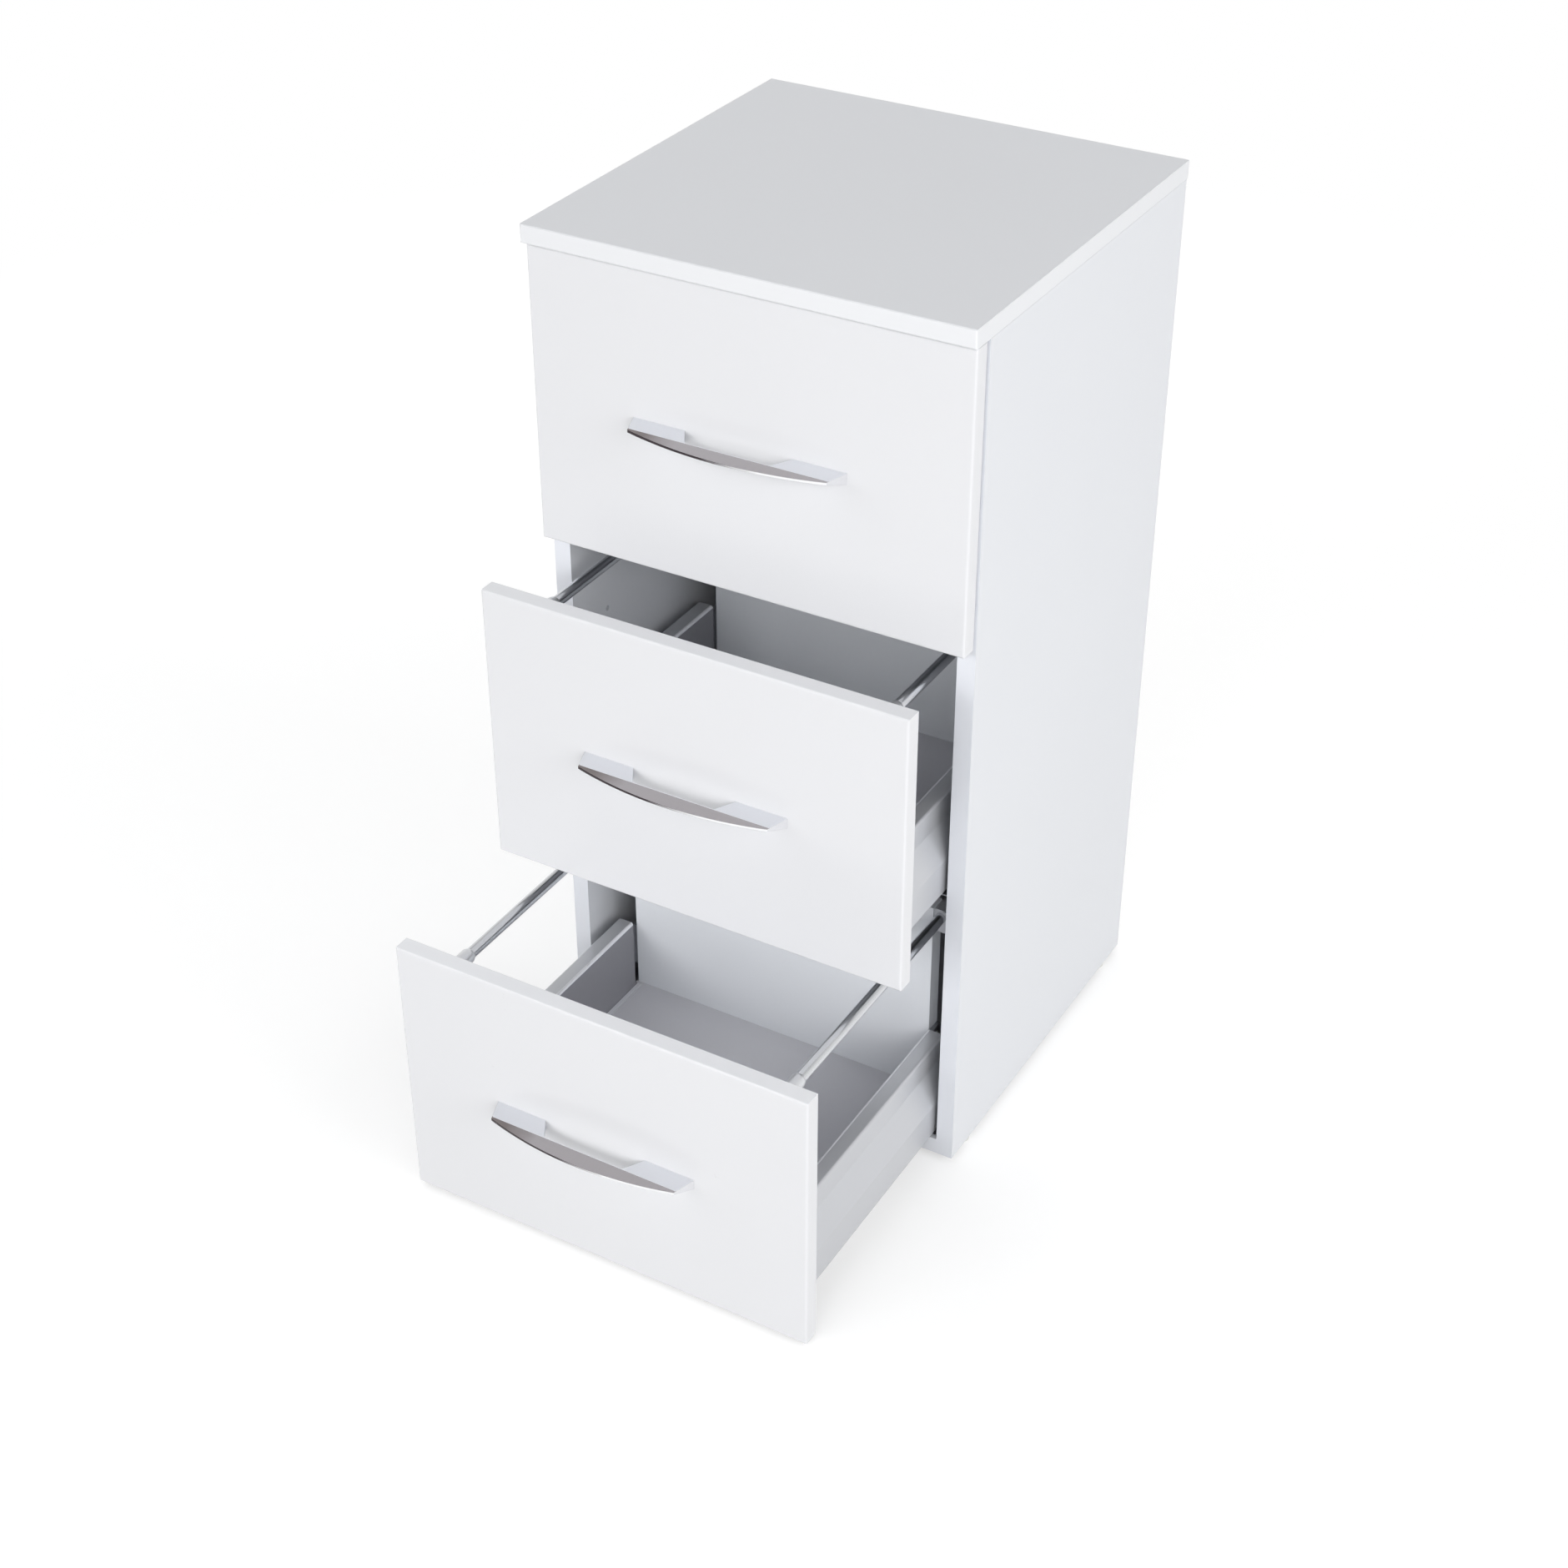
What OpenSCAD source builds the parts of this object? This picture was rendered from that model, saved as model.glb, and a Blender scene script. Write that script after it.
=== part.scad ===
// Three-drawer bathroom base cabinet with double-walled steel drawer sides and gallery rails.
// Origin at the middle of the carcase's underside: +X to the right, -Y to the front, +Z up.

/* [Carcase] */
// Width across the side panels
cabinet_w = 400; // [360:5:600]
// Depth of the side panels
carcase_d = 365; // [345:5:500]
// Thickness of the side and bottom panels
board_t = 16; // [15:0.5:19]
// Thickness of the top panel
top_t = 16; // [15:0.5:25]
// Overhang of the top panel ahead of the drawer fronts
top_overhang = 5.5; // [2:0.5:20]
// Radius along the front edges of the top panel
top_edge_r = 1.5; // [0.5:0.25:3]
// Thickness of the back panel
back_panel_t = 2.5; // [2.5:0.5:6]
// Inset of the back panel's edges from the outer faces
back_panel_inset = 3; // [0.5:0.5:4]
// Height of the glides under the side panels
glide_h = 5; // [3:0.5:10]
// Diameter of the glides
glide_d = 15; // [12:0.5:15.5]
// Distance of the glides from the front and rear edges
glide_inset = 35; // [20:1:60]

/* [Fronts] */
// Height of each drawer front
front_h = 262; // [255:1:320]
// Thickness of the drawer fronts
front_t = 16; // [15:0.5:22]
// Gap between neighbouring fronts
front_gap = 6; // [2:0.5:8]
// Gap between the upper front and the top panel
top_gap = 2; // [1.5:0.5:8]
// Drop of the lower front below the carcase's underside
front_drop = 2; // [0:0.25:3]
// Distance of each front's ends from the carcase's outer faces
front_reveal = 1.5; // [1:0.5:4]
// Gap between the closed fronts and the carcase
carcase_gap = 2; // [1:0.5:4]
// Radius along the face edges of the fronts
front_edge_r = 2; // [0.5:0.25:4]

/* [Opening] */
// How far the upper drawer stands open
pull_1 = 0; // [0:1:300]
// How far the middle drawer stands open
pull_2 = 91; // [0:1:300]
// How far the lower drawer stands open
pull_3 = 243; // [0:1:300]

/* [Drawer box] */
// Inner length of the drawer, front to back board
box_len = 280; // [240:1:300]
// Thickness of the floor board
floor_t = 16; // [15:0.5:19]
// Thickness of the back board
back_t = 16; // [15:0.5:19]
// Height of the back board above the floor board
back_h = 203; // [180:1:205]
// Clearance between the back board's ends and the drawer sides' inner faces
back_clear = 1; // [0.5:0.25:3]
// Height of the steel sides
side_h = 89.5; // [80:0.5:120]
// Thickness of the steel sides' sheet
side_t = 1.2; // [1:0.1:1.6]
// Width of the steel sides at the top
side_top_w = 16; // [14:0.5:20]
// Width of the steel sides at the foot
side_foot_w = 24.8; // [23:0.2:30]
// Height of the steel sides' narrow upper part
side_neck_h = 23; // [16:0.5:30]
// Height of the steel sides' upright foot
side_foot_h = 34.5; // [28:0.5:40]
// Width of the lip under the steel sides
side_lip_w = 5; // [3:0.5:8]
// Outer radius of the bends in the steel sides
side_bend_r = 2.5; // [1.8:0.1:4]
// Width of the flange that lies on the floor board
floor_flange_w = 7; // [4:0.5:12]
// Distance between a steel side's rear end and the back board
side_short = 4; // [2:0.5:8]

/* [Gallery rails] */
// Diameter of the gallery rails
rail_d = 10; // [8:0.5:12]
// Height of the rails' axes above the front's lower edge
rail_z = 234.5; // [150:0.5:236]
// Distance of the rails' axes outside the steel sides' inner faces
rail_out = 5.3; // [4:0.1:8]
// Diameter of the front sockets
socket_d = 13.5; // [12.5:0.25:16]
// Length of the front sockets
socket_len = 36; // [24:1:60]
// Diameter of the sockets' base flange
socket_base_d = 19; // [17:0.5:24]
// Diameter of the pegs that seat the sockets in the front
peg_d = 8; // [6:0.5:10]
// Depth of the pegs in the front
peg_len = 11; // [8:0.5:12]
// Depth of the rear holders along the rail
holder_len = 14; // [12:0.5:15]
// Wall of the rear holders round the rail
holder_wall = 3; // [2.5:0.25:4]

/* [Runner] */
// Nominal length of the fixed runner members
runner_len = 300; // [280:5:320]
// Thickness of the runner sheet
runner_t = 1.2; // [1:0.1:1.4]
// Running gap between runner members
running_gap = 0.5; // [0.3:0.05:0.6]
// Space between the carcase wall and a steel side
wall_gap = 3.2; // [2.6:0.1:5]
// Setback of the fixed members from the carcase's front edge
runner_setback = 3; // [2:0.5:6]
// Space between the bottom panel and the lowest fixed member
runner_clear = 1.1; // [0.5:0.1:3]
// Space between a fixed member's leg and the steel side above it
side_clear = 2.7; // [1.5:0.1:4]
// Height of the fixed members' wall plate
wall_plate_h = 31.5; // [26:0.5:33]
// Height of the fixed members' inner upstand
upstand_h = 15.4; // [12:0.2:18]
// Width of the drawer members' flange under the floor board
floor_ledge_w = 17; // [12:0.5:30]
// Height of the drawer members' web behind the inner wall
web_h = 37; // [20:0.5:38]

/* [Handle] */
// Overall width of the handle
handle_w = 195; // [184:1:240]
// Offset of the handle from the front's middle
handle_x = -5; // [-20:0.5:20]
// Distance between the handle's screws
handle_pitch = 160; // [128:32:160]
// Width of each leg at the front's face
handle_leg_w = 48; // [36:1:60]
// Reach of the handle ahead of the face
handle_reach = 33; // [30:0.5:38]
// Reach of the ends of the handle
handle_end_reach = 20.5; // [19.5:0.5:23]
// Narrowing of each end from the face to the bow
handle_taper = 7; // [2:0.5:10]
// Height of the legs where they meet the front
handle_leg_h = 10; // [9:0.5:14]
// Height of the legs' tops above the screws
handle_top = 4; // [3.5:0.1:6]
// Fall of the legs' tops towards the bow
handle_fall = 0.6; // [0.2:0.1:1.5]
// Fall of the bow's top towards its front edge
bow_fall = 0.6; // [0.2:0.1:1.2]
// Upright thickness of the bow's front edge
handle_edge_t = 2; // [1.5:0.1:3]
// Depth of the finger gap
gap_depth = 17.5; // [17:0.5:18.5]
// Narrowing of each side of the finger gap from the face to the bow
gap_taper = 10.5; // [4:0.5:20]
// Radius of the finger gap's inner corners
gap_r = 4; // [2:0.5:6]

/* [Fastenings] */
// Diameter of the handle screws
handle_screw_d = 4; // [3:0.5:5]
// Depth of the handle screws in the handle
handle_screw_in = 8; // [6:0.5:9]
// Diameter of the wood screws
wood_screw_d = 3.5; // [3:0.25:4.5]
// Depth of the wood screws in the boards
wood_screw_len = 12; // [8:0.5:13]
// Diameter of the dowels
dowel_d = 8; // [6:1:8]
// Length of the dowels
dowel_len = 30; // [25:1:35]
// Depth of dowels and cam bolts in a board's face
face_depth = 11; // [8:0.5:12]
// Diameter of the cam locks
cam_d = 15; // [12:0.5:15]
// Depth of the cam locks
cam_t = 12.5; // [11:0.5:13]
// Distance of the cam locks' centres from the joint
cam_reach = 24; // [20:1:34]
// Diameter of the cam bolts
bolt_d = 6; // [5:0.5:7]
// Distance of the carcase fastenings from the front and rear edges
joint_inset = 60; // [45:1:80]
// Distance between a dowel and its cam
dowel_step = 32; // [20:1:48]
// Diameter of the pilot holes in the side panels
pilot_d = 5; // [3:0.5:6]
// Distance of the pilot holes from the front edge
pilot_inset = 52; // [30:1:80]
// Height of the lower pilot hole above each front's lower edge
pilot_z = 136; // [120:1:180]
// Distance between the pilot holes
pilot_step = 32; // [20:1:64]
// Clearance of loose pieces in their holes, on the radius
fit = 0.05; // [0.02:0.01:0.1]

/* [Hidden] */
drawer_count = 3;
carcase_parts = ["side_panel_left", "side_panel_right", "top_panel", "bottom_panel", "back_panel",
                 "cam_locks", "cam_bolts", "dowels", "back_nails", "glides", "runner_screws"];
runner_parts = ["fixed", "middle"];
drawer_parts = ["front", "handle", "handle_screws", "side_left", "side_right", "floor", "back",
                "gallery_rails", "rail_sockets", "rail_holders", "brackets", "screws", "runner"];

$fn = 48;
bend_steps = 4;
through = 1;
seat_gap = 0.3;

// Carcase
carcase_h = drawer_count * front_h + (drawer_count - 1) * front_gap + top_gap - front_drop;
half_w = cabinet_w / 2;
half_in = half_w - board_t;
panel_mid = half_w - board_t / 2;
front_y = -carcase_d / 2;
rear_y = carcase_d / 2;
pulls = [pull_1, pull_2, pull_3];
joint_ys = [front_y + joint_inset, rear_y - joint_inset];
dowel_ys = [front_y + joint_inset + dowel_step, rear_y - joint_inset - dowel_step];
pilot_zs = [pilot_z, pilot_z + pilot_step];

// Nails and glides
glide_bevel = 1;
glide_nail_d = 2.4;
glide_nail_len = 14;
nail_d = 1.6;
nail_len = 20;
nail_head_d = 5;
nail_head_h = 0.8;
nail_count = 6;
nail_end = 40;
nail_seat_y = rear_y + back_panel_t - nail_head_h;

// Heights above a front's lower edge
fixed_z = front_drop + board_t + runner_clear;
side_z = fixed_z + runner_t + side_clear;
floor_z = side_z + runner_t + seat_gap;
floor_top = floor_z + floor_t;
side_top = side_z + side_h;
back_top = floor_top + back_h;
upstand_top = fixed_z + upstand_h;
middle_top = upstand_top + running_gap + runner_t;
member_top = middle_top + running_gap + runner_t;
web_top = floor_z - runner_t + web_h;

// Distances from the middle of the drawer
box_half = half_in - wall_gap - side_foot_w;
back_half = box_half - back_clear;
floor_half = box_half + side_t;
rail_x = box_half + rail_out;
side_len = box_len - side_short;
back_mid = box_len + back_t / 2;
wall_plate_x = half_in - runner_t;

// Runners
lane_pitch = runner_t + running_gap;
middle_short = 20;
runner_screw_d = 6;
runner_screw_len = 11;
runner_screw_up = 21.4;
runner_screw_first = 37;
runner_screw_last = 261;
runner_head_d = 9.6;
runner_head_h = 1;
runner_screw_ys = [front_y + runner_screw_first, front_y + runner_screw_last];
runner_screw_z = fixed_z + runner_screw_up;

// Brackets
bracket_t = 1.5;
bracket_len = 45;
bracket_plate_t = 2;
bracket_side_gap = 1.5;
bracket_foot_gap = 2;
bracket_head_gap = 4;
bracket_screw_inset = 8;
bracket_x = box_half + side_t;
bracket_z = web_top + bracket_foot_gap;
bracket_h = side_top - side_t - bracket_head_gap - bracket_z;
bracket_plate_w = side_top_w - 2 * side_t - bracket_side_gap;
bracket_screw_x = bracket_x + (bracket_t + bracket_plate_w) / 2;
bracket_screw_zs = [bracket_z + bracket_screw_inset, bracket_z + bracket_h - bracket_screw_inset];

// Front sockets of the gallery rails
socket_base_t = 2.5;
socket_taper = 4;
socket_lip = 0.5;
rail_start = 8;

// Rear holders of the gallery rails
holder_low = 15.5;
holder_screw_up = 5;
rail_in_holder = 9;
holder_x = rail_x + rail_d / 2 + holder_wall;
holder_top = rail_z + rail_d / 2 + holder_wall;
holder_bottom = rail_z - holder_low;
holder_y = box_len + back_t - holder_len;
holder_screw_z = holder_bottom + holder_screw_up;
holder_screw_seat = rail_x + rail_d / 2;

// Handle
handle_floor = handle_top - handle_leg_h;
bow_z = handle_top - handle_fall;
edge_z = bow_z - bow_fall;
bow_half = handle_w / 2 - handle_taper;
bow_sag = handle_reach - handle_end_reach;
bow_r = (bow_half * bow_half + bow_sag * bow_sag) / (2 * bow_sag);

// Screws
wood_head_d = 2 * wood_screw_d;
wood_head_h = 2;
handle_head_d = 2 * handle_screw_d;
handle_head_h = 2.6;
handle_tip_gap = 1;
recess_w = 1;
recess_depth = 1;
screw_end = 40;
floor_screw_x = box_half + side_t - floor_ledge_w / 2;
floor_screw_ys = [screw_end, box_len / 2, box_len - screw_end];
back_screw_x = 90;

// Lower edge of front number k, counted from the top
function front_z(k) = -front_drop + (drawer_count - k) * (front_h + front_gap);

function unit(v) = v / norm(v);

// Points of an arc that rounds the corner b between a and c to radius r
function corner(a, b, c, r, steps) =
    let (u = unit(a - b), v = unit(c - b), half = acos(u * v) / 2,
         start = b + u * r / tan(half), end = b + v * r / tan(half),
         centre = b + unit(u + v) * r / sin(half))
    [for (i = [0:steps])
        let (s = i / steps, m = unit((start - centre) * sin((1 - s) * (180 - 2 * half))
                                     + (end - centre) * sin(s * (180 - 2 * half))))
        centre + m * r];

// An open path with its inner corners rounded
function rounded_path(p, r) =
    concat([p[0]],
           [for (i = [1:len(p) - 2]) each corner(p[i - 1], p[i], p[i + 1], r, bend_steps)],
           [p[len(p) - 1]]);

// A point of an open path, moved to the right of the path's direction
function moved_right(p, i, t) =
    let (a = unit(i > 0 ? p[i] - p[i - 1] : p[1] - p[0]),
         b = unit(i < len(p) - 1 ? p[i + 1] - p[i] : p[i] - p[i - 1]),
         n = [a.y, -a.x], s = unit(n + [b.y, -b.x]))
    p[i] + s * t / (s * n);

// Outline of bent sheet of thickness t whose outer skin follows the path
function sheet_outline(p, t) = concat(p, [for (i = [len(p) - 1:-1:0]) moved_right(p, i, t)]);

// Start of lane number i among the runner's walls, outside the drawer's inner face
function lane(i) = side_t + i * lane_pitch;

module both_sides() {
    children();
    mirror([1, 0, 0]) children();
}

module in_drawer(k) {
    translate([0, front_y - carcase_gap - pulls[k - 1], front_z(k)]) children();
}

module in_handle() {
    translate([handle_x, -front_t, front_h / 2]) children();
}

// A section drawn in X and Z, made into a bar from y0 to y1
module bar_along_y(y0, y1) {
    translate([0, y1, 0]) rotate([90, 0, 0]) linear_extrude(y1 - y0) children();
}

// A section drawn in Y and Z, made into a bar from x0 to x1
module bar_along_x(x0, x1) {
    translate([x0, 0, 0]) rotate([90, 0, 90]) linear_extrude(x1 - x0) children();
}

module rod_x(d, x0, x1) {
    translate([x0, 0, 0]) rotate([0, 90, 0]) cylinder(d = d, h = x1 - x0);
}

module rod_y(d, y0, y1) {
    translate([0, y0, 0]) rotate([-90, 0, 0]) cylinder(d = d, h = y1 - y0);
}

// Screw with its head's underside at z = 0, shank downwards and a cross recess on top
module screw(d, len, head_d, head_h) {
    difference() {
        union() {
            translate([0, 0, -len]) cylinder(d = d, h = len);
            cylinder(d = head_d, h = head_h);
        }
        for (a = [0, 90]) {
            rotate([0, 0, a])
                translate([-head_d / 3, -recess_w / 2, head_h - recess_depth])
                    cube([2 * head_d / 3, recess_w, recess_depth + through]);
        }
    }
}

module wood_screw(grip) {
    screw(wood_screw_d, wood_screw_len + grip, wood_head_d, wood_head_h);
}

// Carcase

module side_panel_solid() {
    difference() {
        translate([half_in, front_y, 0]) cube([board_t, carcase_d, carcase_h]);
        for (y = joint_ys) {
            translate([half_in - through, y, carcase_h - cam_reach])
                rod_x(cam_d + 2 * fit, 0, cam_t + through);
            translate([panel_mid, y, carcase_h - cam_reach])
                cylinder(d = bolt_d + 2 * fit, h = cam_reach + through);
            translate([0, y, board_t / 2]) rod_x(bolt_d + 2 * fit, half_in - through, half_in + face_depth);
        }
        for (y = dowel_ys) {
            translate([panel_mid, y, carcase_h + face_depth - dowel_len])
                cylinder(d = dowel_d + 2 * fit, h = dowel_len);
            translate([0, y, board_t / 2]) rod_x(dowel_d + 2 * fit, half_in - through, half_in + face_depth);
        }
        for (k = [1:drawer_count]) {
            for (y = runner_screw_ys) {
                translate([0, y, front_z(k) + runner_screw_z])
                    rod_x(runner_screw_d + 2 * fit, half_in - through, half_in + runner_screw_len);
            }
            for (z = pilot_zs) {
                translate([0, front_y + pilot_inset, front_z(k) + z])
                    rod_x(pilot_d, half_in - through, half_in + face_depth);
            }
        }
        glide_places() translate([0, 0, -through]) cylinder(d = glide_nail_d, h = glide_nail_len + through);
        nail_places() rod_y(nail_d, rear_y + back_panel_t - nail_len, rear_y + through);
    }
}

module glide_places() {
    for (y = [front_y + glide_inset, rear_y - glide_inset]) {
        translate([panel_mid, y, 0]) children();
    }
}

module nail_places() {
    for (i = [0:nail_count - 1]) {
        translate([panel_mid, 0, nail_end + i * (carcase_h - 2 * nail_end) / (nail_count - 1)])
            children();
    }
}

module side_panel_left() {
    color("#e7e9ed") mirror([1, 0, 0]) side_panel_solid();
}

module side_panel_right() {
    color("#e7e9ed") side_panel_solid();
}

module top_panel() {
    front = front_y - carcase_gap - front_t - top_overhang;
    rear = rear_y + back_panel_t;
    section = concat([[rear, 0], [rear, top_t]],
                     corner([rear, top_t], [front, top_t], [front, 0], top_edge_r, bend_steps),
                     corner([front, top_t], [front, 0], [rear, 0], top_edge_r, bend_steps));
    color("#dfe1e5") difference() {
        translate([0, 0, carcase_h]) bar_along_x(-half_w, half_w) polygon(section);
        both_sides() {
            for (y = joint_ys) {
                translate([panel_mid, y, carcase_h - through])
                    cylinder(d = bolt_d + 2 * fit, h = face_depth + through);
            }
            for (y = dowel_ys) {
                translate([panel_mid, y, carcase_h - through])
                    cylinder(d = dowel_d + 2 * fit, h = face_depth + through);
            }
        }
    }
}

module bottom_panel() {
    color("#e7e9ed") difference() {
        translate([-half_in, front_y, 0]) cube([2 * half_in, carcase_d, board_t]);
        both_sides() {
            for (y = joint_ys) {
                translate([half_in - cam_reach, y, -through]) cylinder(d = cam_d + 2 * fit, h = cam_t + through);
                translate([0, y, board_t / 2])
                    rod_x(bolt_d + 2 * fit, half_in - cam_reach, half_in + through);
            }
            for (y = dowel_ys) {
                translate([0, y, board_t / 2])
                    rod_x(dowel_d + 2 * fit, half_in + face_depth - dowel_len, half_in + through);
            }
        }
    }
}

module back_panel() {
    color("#f2f2f0") difference() {
        translate([-half_w + back_panel_inset, rear_y, back_panel_inset])
            cube([cabinet_w - 2 * back_panel_inset, back_panel_t, carcase_h - back_panel_inset]);
        both_sides() nail_places() {
            rod_y(nail_d, rear_y - through, rear_y + back_panel_t);
            rod_y(nail_head_d + 2 * fit, nail_seat_y, rear_y + back_panel_t + through);
        }
    }
}

// A cam lock with its axis along Z, open end down and the bolt coming from +X
module cam_lock() {
    difference() {
        cylinder(d = cam_d, h = cam_t);
        translate([0, 0, board_t / 2]) rod_x(bolt_d + 2 * fit, 0, cam_d);
        translate([-cam_d / 3, -recess_w / 2, -through])
            cube([2 * cam_d / 3, recess_w, through + 2 * recess_depth]);
    }
}

module cam_locks() {
    color("#b9bbbd") both_sides() {
        for (y = joint_ys) {
            translate([half_in - cam_reach, y, 0]) cam_lock();
            translate([half_in, y, carcase_h - cam_reach]) rotate([0, 90, 0]) rotate([0, 0, 180]) cam_lock();
        }
    }
}

module cam_bolts() {
    color("#c9c4b0") both_sides() {
        for (y = joint_ys) {
            translate([0, y, board_t / 2]) rod_x(bolt_d, half_in - cam_reach, half_in + face_depth);
            translate([panel_mid, y, carcase_h - cam_reach])
                cylinder(d = bolt_d, h = cam_reach + face_depth);
        }
    }
}

module dowels() {
    color("#c8a878") both_sides() {
        for (y = dowel_ys) {
            translate([0, y, board_t / 2]) rod_x(dowel_d, half_in + face_depth - dowel_len, half_in + face_depth);
            translate([panel_mid, y, carcase_h + face_depth - dowel_len])
                cylinder(d = dowel_d, h = dowel_len);
        }
    }
}

module back_nails() {
    color("#9a9c9e") both_sides() nail_places() {
        rod_y(nail_d, rear_y + back_panel_t - nail_len, rear_y + back_panel_t);
        rod_y(nail_head_d, nail_seat_y, rear_y + back_panel_t);
    }
}

module glides() {
    color("#d8d8d6") both_sides() glide_places() {
        translate([0, 0, -glide_h]) cylinder(d1 = glide_d - 2 * glide_bevel, d2 = glide_d, h = glide_bevel);
        translate([0, 0, glide_bevel - glide_h]) cylinder(d = glide_d, h = glide_h - glide_bevel);
        cylinder(d = glide_nail_d, h = glide_nail_len);
    }
}

module runner_screws() {
    color("#c4c6c8") both_sides() {
        for (k = [1:drawer_count]) {
            for (y = runner_screw_ys) {
                translate([0, y, front_z(k) + runner_screw_z]) {
                    rod_x(runner_screw_d, wall_plate_x, half_in + runner_screw_len);
                    translate([wall_plate_x - runner_head_h, 0, 0]) rotate([0, 90, 0])
                        cylinder(d1 = runner_screw_d, d2 = runner_head_d, h = runner_head_h);
                }
            }
        }
    }
}

// Runner members, drawn for the right-hand side in the frame of drawer k

module fixed_section() {
    leg_x = box_half + lane(2);
    translate([wall_plate_x, fixed_z]) square([runner_t, wall_plate_h]);
    translate([leg_x, fixed_z]) square([half_in - leg_x, runner_t]);
    translate([leg_x, fixed_z]) square([runner_t, upstand_h]);
}

module runner_fixed(k) {
    color("#c8cacc") translate([0, front_y, front_z(k)]) both_sides() difference() {
        bar_along_y(runner_setback, runner_setback + runner_len) fixed_section();
        for (y = runner_screw_ys) {
            translate([0, y - front_y, runner_screw_z])
                rod_x(runner_screw_d + 2 * fit, wall_plate_x - through, half_in + through);
        }
    }
}

module middle_section() {
    translate([box_half + lane(1), floor_z]) square([runner_t, middle_top - floor_z]);
    translate([box_half + lane(3), floor_z]) square([runner_t, middle_top - floor_z]);
    translate([box_half + lane(1), middle_top - runner_t]) square([2 * lane_pitch + runner_t, runner_t]);
}

module runner_middle(k) {
    color("#c8cacc") translate([0, front_y - pulls[k - 1] / 2, front_z(k)]) both_sides()
        bar_along_y(runner_setback, runner_setback + runner_len - middle_short) middle_section();
}

module member_section() {
    translate([box_half + side_t - floor_ledge_w, floor_z - runner_t])
        square([floor_ledge_w + runner_t, runner_t]);
    translate([box_half + lane(0), floor_z - runner_t]) square([runner_t, web_h]);
    translate([box_half + lane(0), member_top - runner_t]) square([4 * lane_pitch + runner_t, runner_t]);
    translate([box_half + lane(4), floor_z]) square([runner_t, member_top - floor_z]);
}

module drawer_runner(k) {
    color("#c8cacc") in_drawer(k) both_sides() difference() {
        bar_along_y(through, side_len) member_section();
        for (y = floor_screw_ys) {
            translate([floor_screw_x, y, floor_z - runner_t - through])
                cylinder(d = wood_screw_d + 2 * fit, h = runner_t + 2 * through);
        }
    }
}

// Drawer box

module drawer_front(k) {
    half = half_w - front_reveal;
    upright = concat([[0, 0], [0, front_h]],
                     corner([0, front_h], [-front_t, front_h], [-front_t, 0], front_edge_r, bend_steps),
                     corner([-front_t, front_h], [-front_t, 0], [0, 0], front_edge_r, bend_steps));
    plan = concat([[half, 0], [-half, 0]],
                  corner([-half, 0], [-half, -front_t], [half, -front_t], front_edge_r, bend_steps),
                  corner([-half, -front_t], [half, -front_t], [half, 0], front_edge_r, bend_steps));
    color("#f4f5f7") in_drawer(k) difference() {
        intersection() {
            bar_along_x(-half, half) polygon(upright);
            linear_extrude(front_h) polygon(plan);
        }
        in_handle() both_sides() translate([handle_pitch / 2, 0, 0])
            rod_y(handle_screw_d + 2 * fit, -through, front_t + through);
        both_sides() {
            translate([rail_x, 0, rail_z]) rod_y(peg_d + 2 * fit, -peg_len, through);
            for (z = bracket_screw_zs) {
                translate([bracket_screw_x, 0, z]) rod_y(wood_screw_d + 2 * fit, -wood_screw_len, through);
            }
        }
    }
}

module side_profile() {
    skin = [[-floor_flange_w, floor_top + side_t], [0, floor_top + side_t], [0, side_top],
            [side_top_w, side_top], [side_top_w, side_top - side_neck_h],
            [side_foot_w, side_z + side_foot_h], [side_foot_w, side_z],
            [side_foot_w - side_lip_w, side_z]];
    polygon(sheet_outline(rounded_path(skin, side_bend_r), side_t));
}

module drawer_side() {
    bar_along_y(0, side_len) translate([box_half, 0]) side_profile();
}

module drawer_side_left(k) {
    color("#c9cdd2") in_drawer(k) mirror([1, 0, 0]) drawer_side();
}

module drawer_side_right(k) {
    color("#c9cdd2") in_drawer(k) drawer_side();
}

module drawer_floor(k) {
    color("#eceef0") in_drawer(k) difference() {
        translate([-floor_half, 0, floor_z]) cube([2 * floor_half, box_len + back_t, floor_t]);
        both_sides() {
            for (y = floor_screw_ys) {
                translate([floor_screw_x, y, floor_z - through])
                    cylinder(d = wood_screw_d + 2 * fit, h = wood_screw_len + through);
            }
            translate([back_screw_x, back_mid, floor_z - through]) {
                cylinder(d = wood_screw_d + 2 * fit, h = floor_t + 2 * through);
                cylinder(d = wood_head_d + 2 * fit, h = wood_head_h + through);
            }
        }
    }
}

module drawer_back(k) {
    color("#f2f3f5") in_drawer(k) difference() {
        translate([-back_half, box_len, floor_top]) cube([2 * back_half, back_t, back_h]);
        both_sides() {
            translate([back_screw_x, back_mid, floor_top - through])
                cylinder(d = wood_screw_d + 2 * fit, h = wood_screw_len + through);
            for (z = concat(bracket_screw_zs, [holder_screw_z])) {
                translate([0, back_mid, z])
                    rod_x(wood_screw_d + 2 * fit, back_half - wood_screw_len, back_half + through);
            }
        }
    }
}

module drawer_gallery_rails(k) {
    color("#c3c5c8") in_drawer(k) both_sides() translate([rail_x, 0, rail_z])
        rod_y(rail_d, rail_start, holder_y + rail_in_holder);
}

module drawer_rail_sockets(k) {
    color("#c3c5c8") in_drawer(k) both_sides() translate([rail_x, 0, rail_z]) difference() {
        union() {
            rod_y(peg_d, -peg_len, through);
            rod_y(socket_base_d, 0, socket_base_t);
            rod_y(socket_d, 0, socket_len - socket_taper);
            translate([0, socket_len - socket_taper, 0]) rotate([-90, 0, 0])
                cylinder(d1 = socket_d, d2 = rail_d + 2 * socket_lip, h = socket_taper);
        }
        rod_y(rail_d + 2 * fit, rail_start, socket_len + through);
    }
}

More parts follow.
